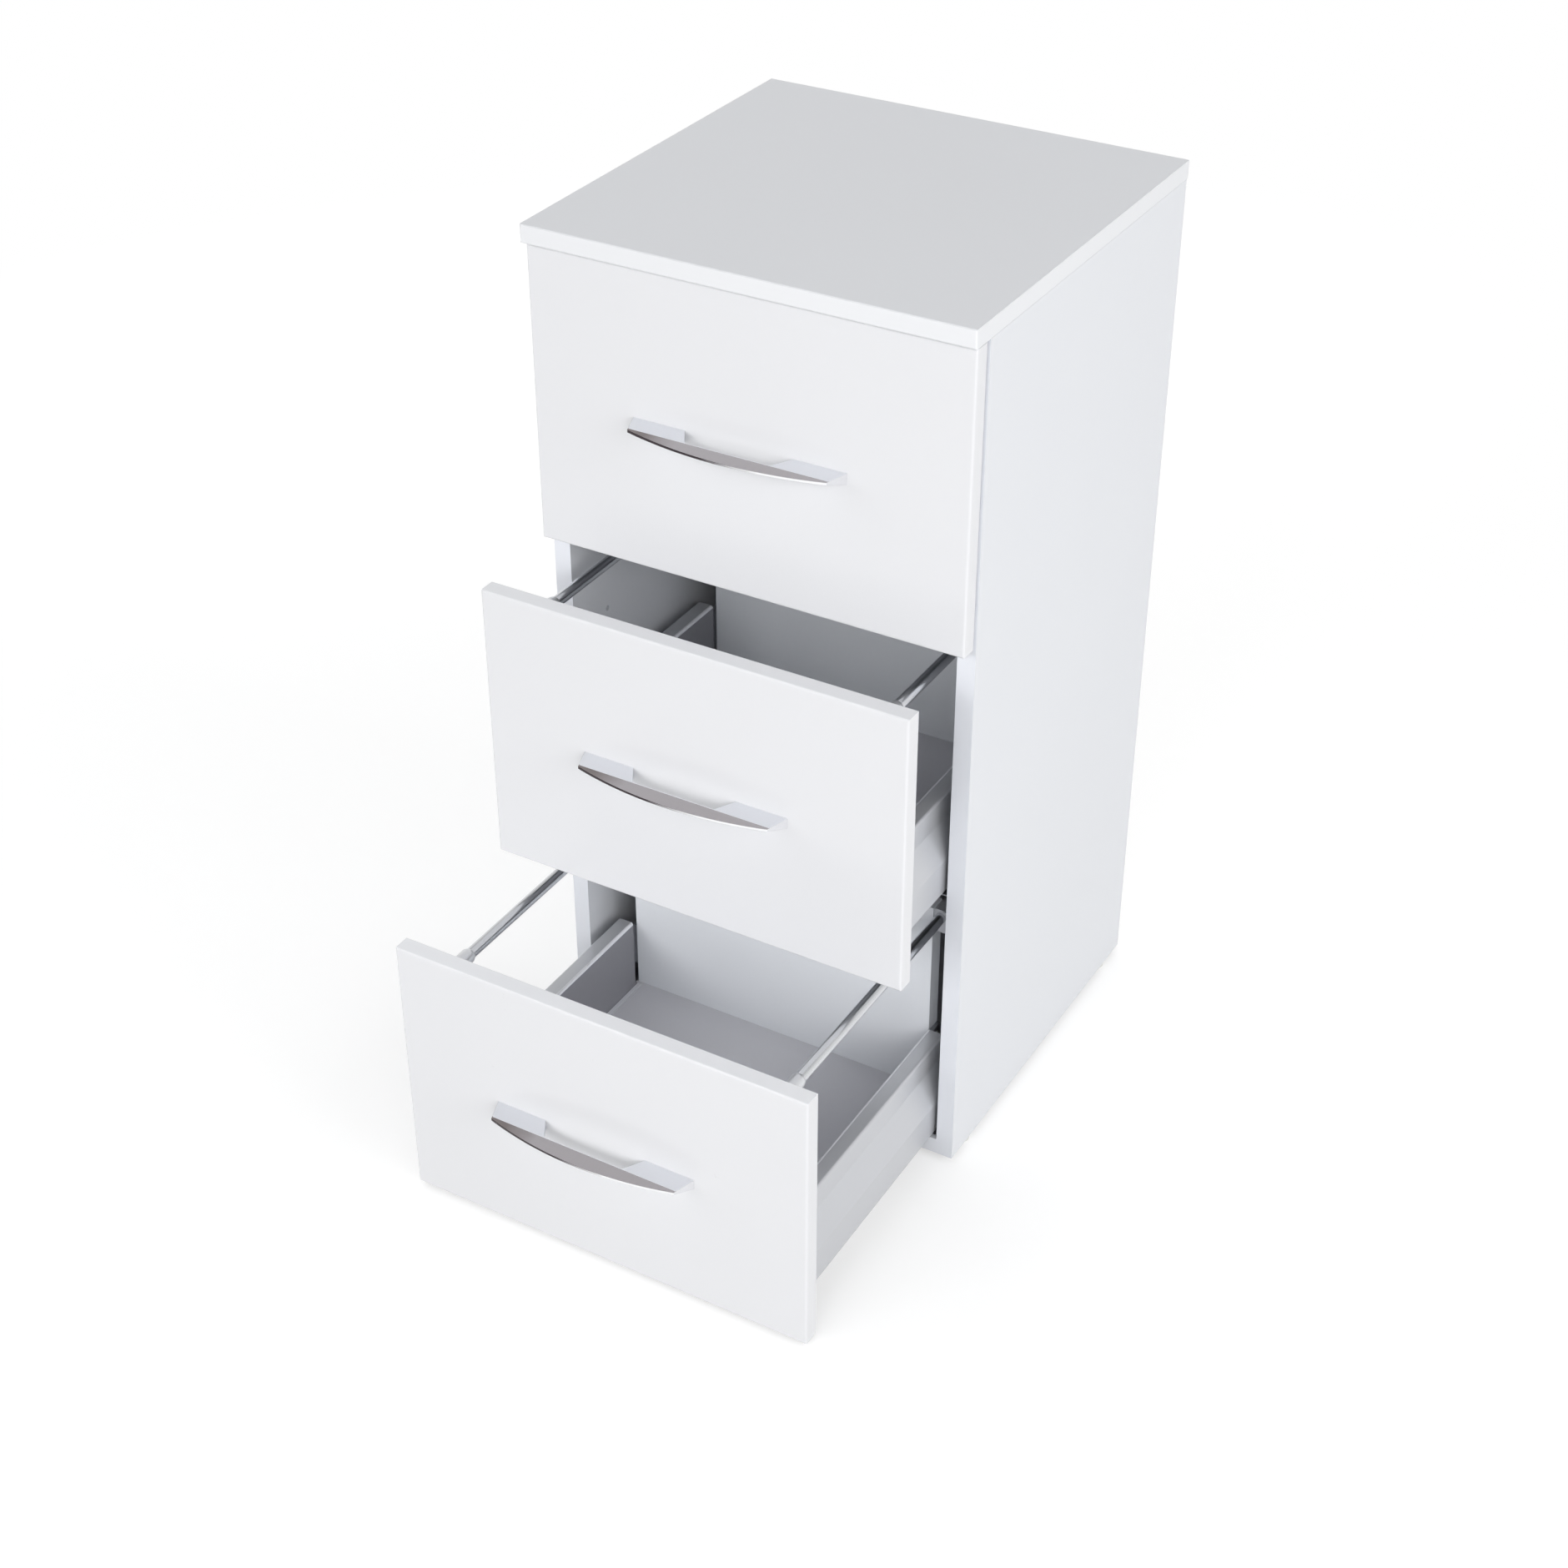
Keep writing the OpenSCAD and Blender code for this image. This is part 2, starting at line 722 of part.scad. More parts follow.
module drawer_rail_holders(k) {
    color("#c3c5c8") in_drawer(k) both_sides() difference() {
        translate([0, holder_y, 0]) bar_along_y(0, holder_len) intersection() {
            union() {
                translate([rail_x, rail_z]) circle(d = rail_d + 2 * holder_wall);
                translate([back_half, holder_bottom]) square([rail_x - back_half, holder_top - holder_bottom]);
                translate([rail_x, holder_bottom]) square([rail_d / 2, rail_z - holder_bottom]);
            }
            translate([back_half, holder_bottom])
                square([holder_x - back_half, holder_top - holder_bottom]);
        }
        translate([rail_x, 0, rail_z])
            rod_y(rail_d + 2 * fit, holder_y - through, holder_y + rail_in_holder);
        translate([0, back_mid, holder_screw_z])
            rod_x(wood_screw_d + 2 * fit, back_half - through, holder_x + through);
    }
}

module front_bracket() {
    difference() {
        union() {
            translate([bracket_x, 0, bracket_z]) cube([bracket_t, bracket_len, bracket_h]);
            translate([bracket_x, 0, bracket_z]) cube([bracket_plate_w, bracket_plate_t, bracket_h]);
        }
        for (z = bracket_screw_zs) {
            translate([bracket_screw_x, 0, z])
                rod_y(wood_screw_d + 2 * fit, -through, bracket_plate_t + through);
        }
    }
}

module rear_bracket() {
    difference() {
        union() {
            translate([bracket_x, side_len - bracket_len, bracket_z])
                cube([bracket_t, bracket_len + side_short + back_t, bracket_h]);
            translate([back_half, box_len, bracket_z]) cube([bracket_x - back_half, back_t, bracket_h]);
        }
        for (z = bracket_screw_zs) {
            translate([0, back_mid, z])
                rod_x(wood_screw_d + 2 * fit, back_half - through, bracket_x + bracket_t + through);
        }
    }
}

module drawer_brackets(k) {
    color("#b4b8bc") in_drawer(k) both_sides() {
        front_bracket();
        rear_bracket();
    }
}

module drawer_screws(k) {
    color("#c4c6c8") in_drawer(k) both_sides() {
        for (z = bracket_screw_zs) {
            translate([bracket_screw_x, bracket_plate_t, z]) rotate([-90, 0, 0]) wood_screw(0);
            translate([bracket_x + bracket_t, back_mid, z])
                rotate([0, 90, 0]) wood_screw(0);
        }
        translate([holder_screw_seat, back_mid, holder_screw_z]) rotate([0, 90, 0]) wood_screw(0);
        for (y = floor_screw_ys) {
            translate([floor_screw_x, y, floor_z - runner_t]) rotate([180, 0, 0]) wood_screw(0);
        }
        translate([back_screw_x, back_mid, floor_z + wood_head_h])
            rotate([180, 0, 0]) wood_screw(floor_t - wood_head_h);
    }
}

// Handle

module handle_plan() {
    gap_half = handle_w / 2 - handle_leg_w;
    gap = concat([[gap_half, through], [gap_half, 0]],
                 corner([gap_half, 0], [gap_half - gap_taper, -gap_depth], [0, -gap_depth], gap_r, bend_steps),
                 corner([0, -gap_depth], [gap_taper - gap_half, -gap_depth], [-gap_half, 0], gap_r, bend_steps),
                 [[-gap_half, 0], [-gap_half, through]]);
    difference() {
        intersection() {
            polygon([[-handle_w / 2, 0], [-bow_half, -handle_end_reach], [-bow_half, -handle_reach],
                     [bow_half, -handle_reach], [bow_half, -handle_end_reach], [handle_w / 2, 0]]);
            translate([0, bow_r - handle_reach]) circle(r = bow_r, $fn = 360);
        }
        polygon(gap);
    }
}

// Section through the handle: flat top, thin front edge and legs that deepen towards the front's face
module handle_profile() {
    low = edge_z - handle_edge_t;
    polygon([[0, handle_top], [-gap_depth, bow_z], [-handle_reach, edge_z],
             [-handle_reach, low], [-handle_end_reach, low], [0, handle_floor]]);
}

module drawer_handle(k) {
    color("#b8babd") in_drawer(k) in_handle() difference() {
        intersection() {
            translate([0, 0, handle_floor]) linear_extrude(handle_leg_h) handle_plan();
            bar_along_x(-handle_w / 2, handle_w / 2) handle_profile();
        }
        both_sides() translate([handle_pitch / 2, 0, 0])
            rod_y(handle_screw_d + 2 * fit, -handle_screw_in - handle_tip_gap, through);
    }
}

module drawer_handle_screws(k) {
    color("#c4c6c8") in_drawer(k) in_handle() both_sides() translate([handle_pitch / 2, front_t, 0])
        rotate([-90, 0, 0]) screw(handle_screw_d, front_t + handle_screw_in, handle_head_d, handle_head_h);
}

side_panel_left();
side_panel_right();
top_panel();
bottom_panel();
back_panel();
cam_locks();
cam_bolts();
dowels();
back_nails();
glides();
runner_screws();
for (k = [1:drawer_count]) {
    runner_fixed(k);
    runner_middle(k);
    drawer_front(k);
    drawer_handle(k);
    drawer_handle_screws(k);
    drawer_side_left(k);
    drawer_side_right(k);
    drawer_floor(k);
    drawer_back(k);
    drawer_gallery_rails(k);
    drawer_rail_sockets(k);
    drawer_rail_holders(k);
    drawer_brackets(k);
    drawer_screws(k);
    drawer_runner(k);
}
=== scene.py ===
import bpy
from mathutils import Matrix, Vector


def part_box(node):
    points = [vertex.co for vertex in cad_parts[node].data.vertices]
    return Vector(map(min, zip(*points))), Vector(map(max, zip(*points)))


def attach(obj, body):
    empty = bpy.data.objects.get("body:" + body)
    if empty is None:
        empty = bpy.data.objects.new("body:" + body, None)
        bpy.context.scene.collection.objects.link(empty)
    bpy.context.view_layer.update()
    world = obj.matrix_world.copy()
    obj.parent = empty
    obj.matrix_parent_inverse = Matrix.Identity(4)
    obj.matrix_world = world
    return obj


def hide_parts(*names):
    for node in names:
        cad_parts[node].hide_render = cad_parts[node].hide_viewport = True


bl_info = {
    "name": "Bathroom cabinet",
    "version": (1, 0, 0),
    "blender": (4, 5, 0),
    "location": "View3D > Sidebar > Cabinet",
    "description": "Dresses the three-drawer bathroom cabinet with finishes, handles, steel sides and rails",
    "category": "Object",
}

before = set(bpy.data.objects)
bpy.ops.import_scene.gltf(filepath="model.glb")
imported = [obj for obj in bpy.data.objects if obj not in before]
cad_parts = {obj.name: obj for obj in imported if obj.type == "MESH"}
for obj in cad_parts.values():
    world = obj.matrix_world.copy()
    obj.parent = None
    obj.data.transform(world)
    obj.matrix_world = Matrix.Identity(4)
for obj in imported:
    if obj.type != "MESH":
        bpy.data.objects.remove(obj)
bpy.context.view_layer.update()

import math

import bmesh
import bpy
from bpy.props import FloatProperty, FloatVectorProperty, IntProperty, PointerProperty
from mathutils import Vector

DRAWERS = (1, 2, 3)

# Points of a mesh nearer than this are merged into one
SAME_POINT = 1e-6
# An edge nearer than this to a board's front face lies on it
ON_FACE = 1e-4
# A face looks along an axis when its normal has more than this along it
FACING = 0.9
# Steps in the rounding of a board's edges
EDGE_STEPS = 6

# Number of sections along the handle: middle to the gap's corner, on to the leg, along the leg, and its end
HANDLE_SECTIONS = (12, 22, 14, 8)
# Material of each side of a section: 0 satin, 1 the lens, 2 the polished front edge
SECTION_FINISH = (0, 1, 2, 0, 0, 0)
# Places along X between which the painted reflection on the handle's lens and front edge brightens, and the
# waves' height and scale
LENS_REFLECTION_FADE = (-0.08, -0.048)
RIM_REFLECTION_FADE = (-0.02, 0.03)
FADE_WAVE = 0.02
FADE_WAVE_SCALE = 60.0

# Stretch of a grain that runs in no direction; a smaller number draws the grain out along that axis
EVEN = (1.0, 1.0, 1.0)
# Directions that a band of another colour faces
FORWARD = (0.0, -1.0, 0.0)
UP = (0.0, 0.0, 1.0)
# Strength of the bump on boards and on metal, the depth of the metal's, and the roughness of the clear coat
SKIN_BUMP = 0.3
GRAIN_BUMP = 0.25
GRAIN_DEPTH = 0.00001
COAT_ROUGHNESS = 0.06
# Shares of a face's normal at which the edge band's colour starts to show on it, and shows in full
BAND_FACING = (0.6, 0.9)

# Name, power property and place of each lamp
LAMPS = (("Front", "front_power", (-0.3, -3.05, 1.05)), ("Key", "key_power", (1.6, -2.7, 1.4)),
         ("Side", "side_power", (3.0, -0.6, 1.2)), ("Fill", "fill_power", (-2.2, 2.2, 1.0)))
# Width and height of every lamp, and the point that they all look at
LAMP_SIZE = (2.4, 1.8)
LAMP_AIM = Vector((0.0, 0.0, 0.4))
# Heights at which the sky's ring of light starts and ends, from 0 at the horizon to 1 overhead
RING_START = (0.2, 0.3)
RING_END = (0.55, 0.65)
# Heights between which the sky that metal and gloss mirror grows darker, and its strength overhead
SHINE_FALL = (0.1, 0.95)
SHINE_OVERHEAD = 0.45
# Roughness of the floor, and the scale of its patches
FLOOR_ROUGHNESS = 0.8
PATCH_SCALE = 1.5
# Width of the camera's sensor, in millimetres
SENSOR_WIDTH = 36.0


# Sizes and colours that a user would change

def length(name, description, default):
    return FloatProperty(name=name, description=description, default=default, min=0.0, subtype="DISTANCE",
                         unit="LENGTH", precision=5)


def colour(name, description, default):
    return FloatVectorProperty(name=name, description=description, default=default, size=3, min=0.0, max=1.0,
                               subtype="COLOR")


def number(name, description, default, low, high):
    return IntProperty(name=name, description=description, default=default, min=low, max=high)


def share(name, description, default):
    return FloatProperty(name=name, description=description, default=default, min=0.0, max=1.0)


def turn(name, description, degrees):
    return FloatProperty(name=name, description=description, default=math.radians(degrees), subtype="ANGLE",
                         unit="ROTATION")


def lamp_power(name, description, default):
    return FloatProperty(name=name, description=description, default=default, min=0.0, unit="POWER")


class CabinetSizes(bpy.types.PropertyGroup):
    front_edge_r: length("Front edge radius", "Rounding along the face edges of the drawer fronts", 0.002)
    top_edge_r: length("Top edge radius", "Rounding along the edges of the top board", 0.0015)
    board_edge_r: length("Board edge radius", "Softening of the cut edges of the boards", 0.0004)
    metal_edge_r: length("Metal edge radius", "Softening of the edges of the cast pieces", 0.0003)
    edge_band_t: length("Edge band thickness", "Thickness of the band on the carcase's front edges", 0.001)
    # The top's pale grey is painted shade; this thickness only places the band's dark joint line
    top_skin_t: length("Top skin thickness", "Thickness of the top board's pale grey skin", 0.0008)
    side_sheet_t: length("Side sheet thickness", "Thickness of the drawer sides' steel sheet", 0.0012)
    side_top_w: length("Side top width", "Width of the drawer sides' flat top", 0.016)
    side_neck_h: length("Side neck height", "Height of the drawer sides' narrow upper part", 0.023)
    side_foot_h: length("Side foot height", "Height of the drawer sides' upright foot", 0.0345)
    side_lip_w: length("Side lip width", "Width of the lip under the drawer sides", 0.005)
    side_bend_r: length("Side bend radius", "Outer radius of the bends in the drawer sides", 0.0025)
    floor_flange_w: length("Floor flange width", "Width of the flange that lies on the drawer floor", 0.007)
    bend_steps: number("Bend steps", "Steps round each bend of the sheet", 8, 2, 24)
    turn_steps: number("Turn steps", "Steps round each turned piece", 64, 16, 128)
    leg_w: length("Handle leg width", "Width of each handle leg at the face", 0.048)
    end_reach: length("Handle end reach", "Reach of the ends of the handle", 0.0205)
    end_taper: length("Handle end taper", "Narrowing of each handle end from the face to the bow", 0.007)
    gap_depth: length("Finger gap depth", "Depth of the finger gap behind the bow", 0.0175)
    gap_taper: length("Finger gap taper", "Narrowing of each side of the finger gap", 0.0105)
    gap_r: length("Finger gap corner radius", "Radius of the finger gap's inner corners", 0.004)
    leg_fall: length("Handle leg fall", "Fall of the legs' tops towards the bow", 0.0006)
    bow_fall: length("Handle bow fall", "Fall of the bow's top towards its front edge", 0.0006)
    bow_edge_t: length("Handle edge thickness", "Thickness of the bow's front edge", 0.002)
    bow_rim: length("Handle rim", "Width of the satin rim behind the polished lens", 0.0009)
    rail_chamfer: length("Rail end chamfer", "Chamfer on the ends of the gallery rails", 0.0006)


class CabinetColours(bpy.types.PropertyGroup):
    carcase: colour("Carcase", "White melamine of the carcase", (0.745, 0.76, 0.79))
    # A bluish edge band, made lighter than the boards' faces as painted light where the fronts shade the
    # front edges
    carcase_edge_band_lit: colour("Carcase edge band", "Bluish band on the carcase's front edges", (0.85, 0.87, 0.92))
    # The top board's up face is darker than its edges: painted shade on the top and painted light on the
    # edges
    top: colour("Top board", "Pale grey melamine of the top board", (0.764, 0.778, 0.807))
    top_edge_lit: colour("Top edge band", "Lighter band on the top board's edges", (0.79, 0.80, 0.82))
    front: colour("Front", "White high gloss of the drawer fronts", (0.75, 0.755, 0.775))
    # A painted highlight: a lighter colour on the fronts' upward faces
    front_top_highlight: colour("Front edge band", "Light band along the top of the fronts", (0.81, 0.82, 0.845))
    front_back: colour("Front's rear", "White melamine on the rear of the drawer fronts", (0.76, 0.77, 0.80))
    drawer_floor: colour("Drawer floor", "Grey-white melamine of the drawers' floors", (0.71, 0.71, 0.745))
    drawer_board: colour("Drawer back", "White melamine of the drawers' back boards", (0.90, 0.925, 0.96))
    fibreboard: colour("Back panel", "Painted fibreboard of the back panel", (0.80, 0.80, 0.78))
    side_steel: colour("Side steel", "Light grey coating of the drawer sides", (0.57, 0.58, 0.605))
    # Painted highlight on the sides' floor flange and upper bend; the sheet has one coating
    side_highlight: colour("Bright side lacquer", "Lighter lacquer on the floor flange and the upper bend",
                        (0.86, 0.87, 0.90))
    # Painted shade on the inner walls of the drawer sides
    side_shade: colour("Side inner painted shade", "Darker grey lacquer on the inner walls of the drawer sides",
                        (0.285, 0.285, 0.31))
    nickel: colour("Nickel", "Satin nickel of the gallery rails", (0.66, 0.67, 0.69))
    fitting: colour("Fitting", "Satin grey of the sockets and holders", (0.72, 0.73, 0.75))
    zinc_plate: colour("Zinc plate", "Zinc plated steel of the runners and brackets", (0.46, 0.47, 0.49))
    screw: colour("Screws", "Bright zinc of the screws and nails", (0.62, 0.62, 0.60))
    cast_zinc: colour("Cast zinc", "Cast zinc of the cam locks", (0.48, 0.48, 0.49))
    beech: colour("Beech", "Beech of the dowels", (0.58, 0.42, 0.26))
    glide: colour("Glides", "Moulded plastic of the glides", (0.72, 0.72, 0.70))
    handle_satin: colour("Handle satin", "Satin chrome of the handle legs", (0.835, 0.85, 0.885))
    lens: colour("Handle lens", "Polished chrome of the handle's lens", (0.465, 0.44, 0.45))
    # Painted reflection: the lens darkens towards its left end
    lens_dark_reflection: colour("Handle lens end", "Darker left end of the handle's lens", (0.25, 0.22, 0.215))
    # Painted reflection: the front edge runs from dark at its left end to near white
    rim: colour("Handle front edge", "Polished front edge of the handle", (0.90, 0.90, 0.92))
    rim_dark_reflection: colour("Handle front edge end", "Dark left end of the handle's front edge", (0.06, 0.05, 0.055))
    floor: colour("Studio floor", "Colour of the floor in the light that it throws back", (0.32, 0.32, 0.32))


class CabinetStage(bpy.types.PropertyGroup):
    camera_at: FloatVectorProperty(name="Camera place", description="Place of the camera", size=3,
                                   default=(0.9451, -1.7695, 1.5893), subtype="TRANSLATION", unit="LENGTH")
    camera_azimuth: turn("Camera azimuth", "Direction that the camera looks in, from +Y", 30.08)
    camera_pitch: turn("Camera pitch", "How far the camera looks down", 34.09)
    camera_lens: FloatProperty(name="Camera lens", description="Focal length of the camera", default=59.65,
                               min=10.0, max=300.0, unit="CAMERA")
    sky_power: FloatProperty(name="Light all round", description="Strength of the sky's soft ring of light",
                             default=2.1, min=0.0, max=5.0)
    front_power: lamp_power("Front light", "Power of the large soft lamp before the fronts", 28.0)
    key_power: lamp_power("Key light", "Power of the large soft lamp at the front right corner", 23.5)
    side_power: lamp_power("Side light", "Power of the large soft lamp on the right", 37.5)
    fill_power: lamp_power("Fill light", "Power of the large soft lamp behind on the left", 36.0)
    floor_r: length("Floor radius", "Half the width of the studio floor", 9.0)
    floor_patches: share("Floor patches", "Brightness of its darker patches, as a share of the rest", 0.98)
    floor_shade: share("Floor shade", "How strongly the floor shows the cabinet's shadow", 0.65)
    floor_light: share("Floor light", "Light that reaches the open floor near the cabinet", 0.87)
    shade_near: length("Shade near", "Distance up to which the floor shows shadows in full", 0.9)
    shade_far: length("Shade far", "Distance from which the floor is plain white", 2.2)


# Geometry helpers

def rounded_corner(a, b, c, r, steps):
    """Points of an arc of radius r that rounds the corner b between a and c."""
    u, v = (a - b).normalized(), (c - b).normalized()
    half = u.angle(v) / 2
    start, end = b + u * (r / math.tan(half)), b + v * (r / math.tan(half))
    centre = b + (u + v).normalized() * (r / math.sin(half))
    sweep = math.pi - 2 * half
    points = []
    for i in range(steps + 1):
        s = i / steps
        m = (start - centre) * math.sin((1 - s) * sweep) + (end - centre) * math.sin(s * sweep)
        points.append(centre + m.normalized() * r)
    return points


def rounded_path(path, r, steps):
    """The path with each of its corners rounded to radius r."""
    points = [path[0]]
    for a, b, c in zip(path, path[1:], path[2:]):
        points += rounded_corner(a, b, c, r, steps)
    return points + [path[-1]]


def inner_skin(path, t):
    """The path moved to its right by t, as the inner skin of bent sheet."""
    moved = []
    for i, p in enumerate(path):
        a = (p - path[i - 1]).normalized() if i else (path[1] - path[0]).normalized()
        b = (path[i + 1] - p).normalized() if i < len(path) - 1 else (p - path[i - 1]).normalized()
        n = Vector((a.y, -a.x))
        s = (n + Vector((b.y, -b.x))).normalized()
        moved.append(p + s * (t / s.dot(n)))
    return moved


def new_piece(name, bm, materials, smooth=35):
    """Makes an object of a bmesh, smooth except over edges sharper than the angle."""
    bmesh.ops.remove_doubles(bm, verts=bm.verts, dist=SAME_POINT)
    bmesh.ops.dissolve_degenerate(bm, edges=bm.edges, dist=SAME_POINT)
    bmesh.ops.recalc_face_normals(bm, faces=bm.faces)
    for face in bm.faces:
        face.smooth = True
    mesh = bpy.data.meshes.new(name)
    bm.to_mesh(mesh)
    bm.free()
    mesh.set_sharp_from_angle(angle=math.radians(smooth))
    piece = bpy.data.objects.new(name, mesh)
    bpy.context.scene.collection.objects.link(piece)
    for material in materials:
        mesh.materials.append(material)
    return piece


def soften(piece, width, segments=2, angle=50):
    """Rounds the sharp edges of a piece."""
    bevel = piece.modifiers.new("Soft edges", "BEVEL")
    bevel.width = width
    bevel.segments = segments
    bevel.limit_method = "ANGLE"
    bevel.angle_limit = math.radians(angle)
    bevel.use_clamp_overlap = True
    return bevel


def slab(name, lo, hi, front_r, edge_r, materials):
    """A board from corner lo to corner hi, rounded by front_r round its front and by edge_r elsewhere."""
    bm = bmesh.new()
    bmesh.ops.create_cube(bm, size=1.0)
    for v in bm.verts:
        v.co = Vector([lo[i] + (v.co[i] + 0.5) * (hi[i] - lo[i]) for i in range(3)])
    weight = bm.edges.layers.float.new("bevel_weight_edge")
    for edge in bm.edges:
        middle = (edge.verts[0].co + edge.verts[1].co) / 2
        edge[weight] = 1.0 if abs(middle.y - lo.y) < ON_FACE else edge_r / front_r
    piece = new_piece(name, bm, materials, smooth=180)
    bevel = piece.modifiers.new("Rounded edges", "BEVEL")
    bevel.width = front_r
    bevel.segments = EDGE_STEPS
    bevel.limit_method = "WEIGHT"
    bevel.harden_normals = True
    return piece


def bent_sheet(name, outline, t, y0, y1, materials, finish):
    """Bent sheet of thickness t whose outer skin follows the outline in X and Z, from y0 to y1.

    finish gives the number of the outer skin's material on the parts of the outline that don't have the
    first one.
    """
    inner = inner_skin(outline, t)
    chamfer = abs(t) / 4
    bm = bmesh.new()
    loops = []
    for y, cut in ((y0, chamfer), (y0 + chamfer, 0.0), (y1 - chamfer, 0.0), (y1, chamfer)):
        loop = []
        for p, q in zip(outline, inner):
            n = (q - p).normalized() * cut
            loop.append((bm.verts.new((p.x + n.x, y, p.y + n.y)), bm.verts.new((q.x - n.x, y, q.y - n.y))))
        loops.append(loop)
    for first, last in zip(loops, loops[1:]):
        for i in range(len(first) - 1):
            outer = bm.faces.new((first[i][0], first[i + 1][0], last[i + 1][0], last[i][0]))
            outer.material_index = finish.get(i, 0)
            bm.faces.new((first[i + 1][1], first[i][1], last[i][1], last[i + 1][1]))
        for i in (0, -1):
            bm.faces.new((first[i][0], first[i][1], last[i][1], last[i][0]))
    for loop in (loops[0], loops[-1]):
        for i in range(len(loop) - 1):
            bm.faces.new((loop[i][0], loop[i + 1][0], loop[i + 1][1], loop[i][1]))
    return new_piece(name, bm, materials, smooth=30)


def turned(bm, x, z, profile, steps):
    """Adds a closed solid turned about an axis along Y from pairs of radius and y."""
    rings = []
    for r, y in profile:
        if r == 0:
            rings.append([bm.verts.new((x, y, z))])
        else:
            ring = []
            for i in range(steps):
                a = math.tau * i / steps
                ring.append(bm.verts.new((x + r * math.cos(a), y, z + r * math.sin(a))))
            rings.append(ring)
    for first, second in zip(rings, rings[1:]):
        for i in range(steps):
            j = (i + 1) % steps
            if len(first) == 1:
                bm.faces.new((first[0], second[i], second[j]))
            elif len(second) == 1:
                bm.faces.new((first[i], second[0], first[j]))
            else:
                bm.faces.new((first[i], first[j], second[j], second[i]))


def spread(start, end, count):
    """Evenly spaced numbers from start to end, both included."""
    return [start + (end - start) * i / (count - 1) for i in range(count)]


# Material helpers

class Tree:
    """A short way to write the nodes of one material or node group."""

    def __init__(self, tree):
        self.tree = tree

    def node(self, kind, values=None, **settings):
        """Adds a node with its settings, then links or sets each of its inputs that values names."""
        made = self.tree.nodes.new(kind)
        for key, value in settings.items():
            setattr(made, key, value)
        for key, value in (values or {}).items():
            if isinstance(value, bpy.types.NodeSocket):
                self.link(value, made.inputs[key])
            else:
                made.inputs[key].default_value = value
        return made

    def math(self, operation, *values):
        return self.node("ShaderNodeMath", dict(enumerate(values)), operation=operation).outputs[0]

    def noise(self, vector, scale, detail=2.0, roughness=0.5):
        made = self.node("ShaderNodeTexNoise", {"Vector": vector, "Scale": scale, "Detail": detail,
                                                "Roughness": roughness})
        return made.outputs["Fac"]

    def ramp(self, value, low, high, to_low=0.0, to_high=1.0):
        made = self.node("ShaderNodeMapRange", {"Value": value, "From Min": low, "From Max": high,
                                                "To Min": to_low, "To Max": to_high})
        return made.outputs["Result"]

    def mix(self, factor, first, second):
        made = self.node("ShaderNodeMix", {0: factor}, data_type="RGBA")
        for index, value in ((6, first), (7, second)):
            if isinstance(value, bpy.types.NodeSocket):
                self.link(value, made.inputs[index])
            else:
                made.inputs[index].default_value = (*value[:3], 1.0)
        return made.outputs[2]

    def vector(self, operation, values, result="Vector"):
        return self.node("ShaderNodeVectorMath", values, operation=operation).outputs[result]

    def scaled(self, tint, factor):
        return self.vector("SCALE", {0: tint, "Scale": factor})

    def dot(self, first, second):
        return self.vector("DOT_PRODUCT", {0: first, 1: second}, "Value")

    def group(self, tree, values):
        return self.node("ShaderNodeGroup", values, node_tree=tree)

    def link(self, output, socket):
        self.tree.links.new(output, socket)


def socket_type(value):
    """The kind of group socket that suits a default value: a number, a direction or a colour."""
    if isinstance(value, float):
        return "NodeSocketFloat"
    return "NodeSocketVector" if len(value) == 3 else "NodeSocketColor"


def node_group(name, inputs, outputs, build):
    """A shader node group, built once, from its inputs' default values and its outputs' types."""
    if name in bpy.data.node_groups:
        return bpy.data.node_groups[name]
    tree = bpy.data.node_groups.new(name, "ShaderNodeTree")
    for label, default in inputs.items():
        socket = tree.interface.new_socket(label, in_out="INPUT", socket_type=socket_type(default))
        socket.default_value = default
    for label, kind in outputs.items():
        tree.interface.new_socket(label, in_out="OUTPUT", socket_type=kind)
    t = Tree(tree)
    start, end = t.node("NodeGroupInput"), t.node("NodeGroupOutput")
    for label, value in build(t, start.outputs).items():
        t.link(value, end.inputs[label])
    return tree


SURFACE_OUTPUTS = {"Color": "NodeSocketColor", "Roughness": "NodeSocketFloat", "Height": "NodeSocketFloat"}


def melamine_skin():
    """Fine orange peel and a faint unevenness in tone, as on pressed decor paper."""
    def build(t, given):
        place = t.node("ShaderNodeTexCoord").outputs["Object"]
        fine = t.noise(place, given["Grain Scale"], detail=3.0, roughness=0.6)
        broad = t.noise(place, given["Cloud Scale"])
        tone = t.math("ADD", 1.0, t.math("MULTIPLY", given["Tone"], t.math("SUBTRACT", broad, 0.5)))
        rough = t.math("ADD", given["Roughness"], t.math("MULTIPLY", given["Rough Spread"],
                                                          t.math("SUBTRACT", fine, 0.5)))
        return {"Color": t.scaled(given["Color"], tone), "Roughness": rough, "Height": fine}
    return node_group("Melamine skin", {"Color": (0.8, 0.8, 0.8, 1.0), "Grain Scale": 900.0,
                                        "Cloud Scale": 6.0, "Tone": 0.02, "Roughness": 0.4,
                                        "Rough Spread": 0.1},
                      SURFACE_OUTPUTS, build)


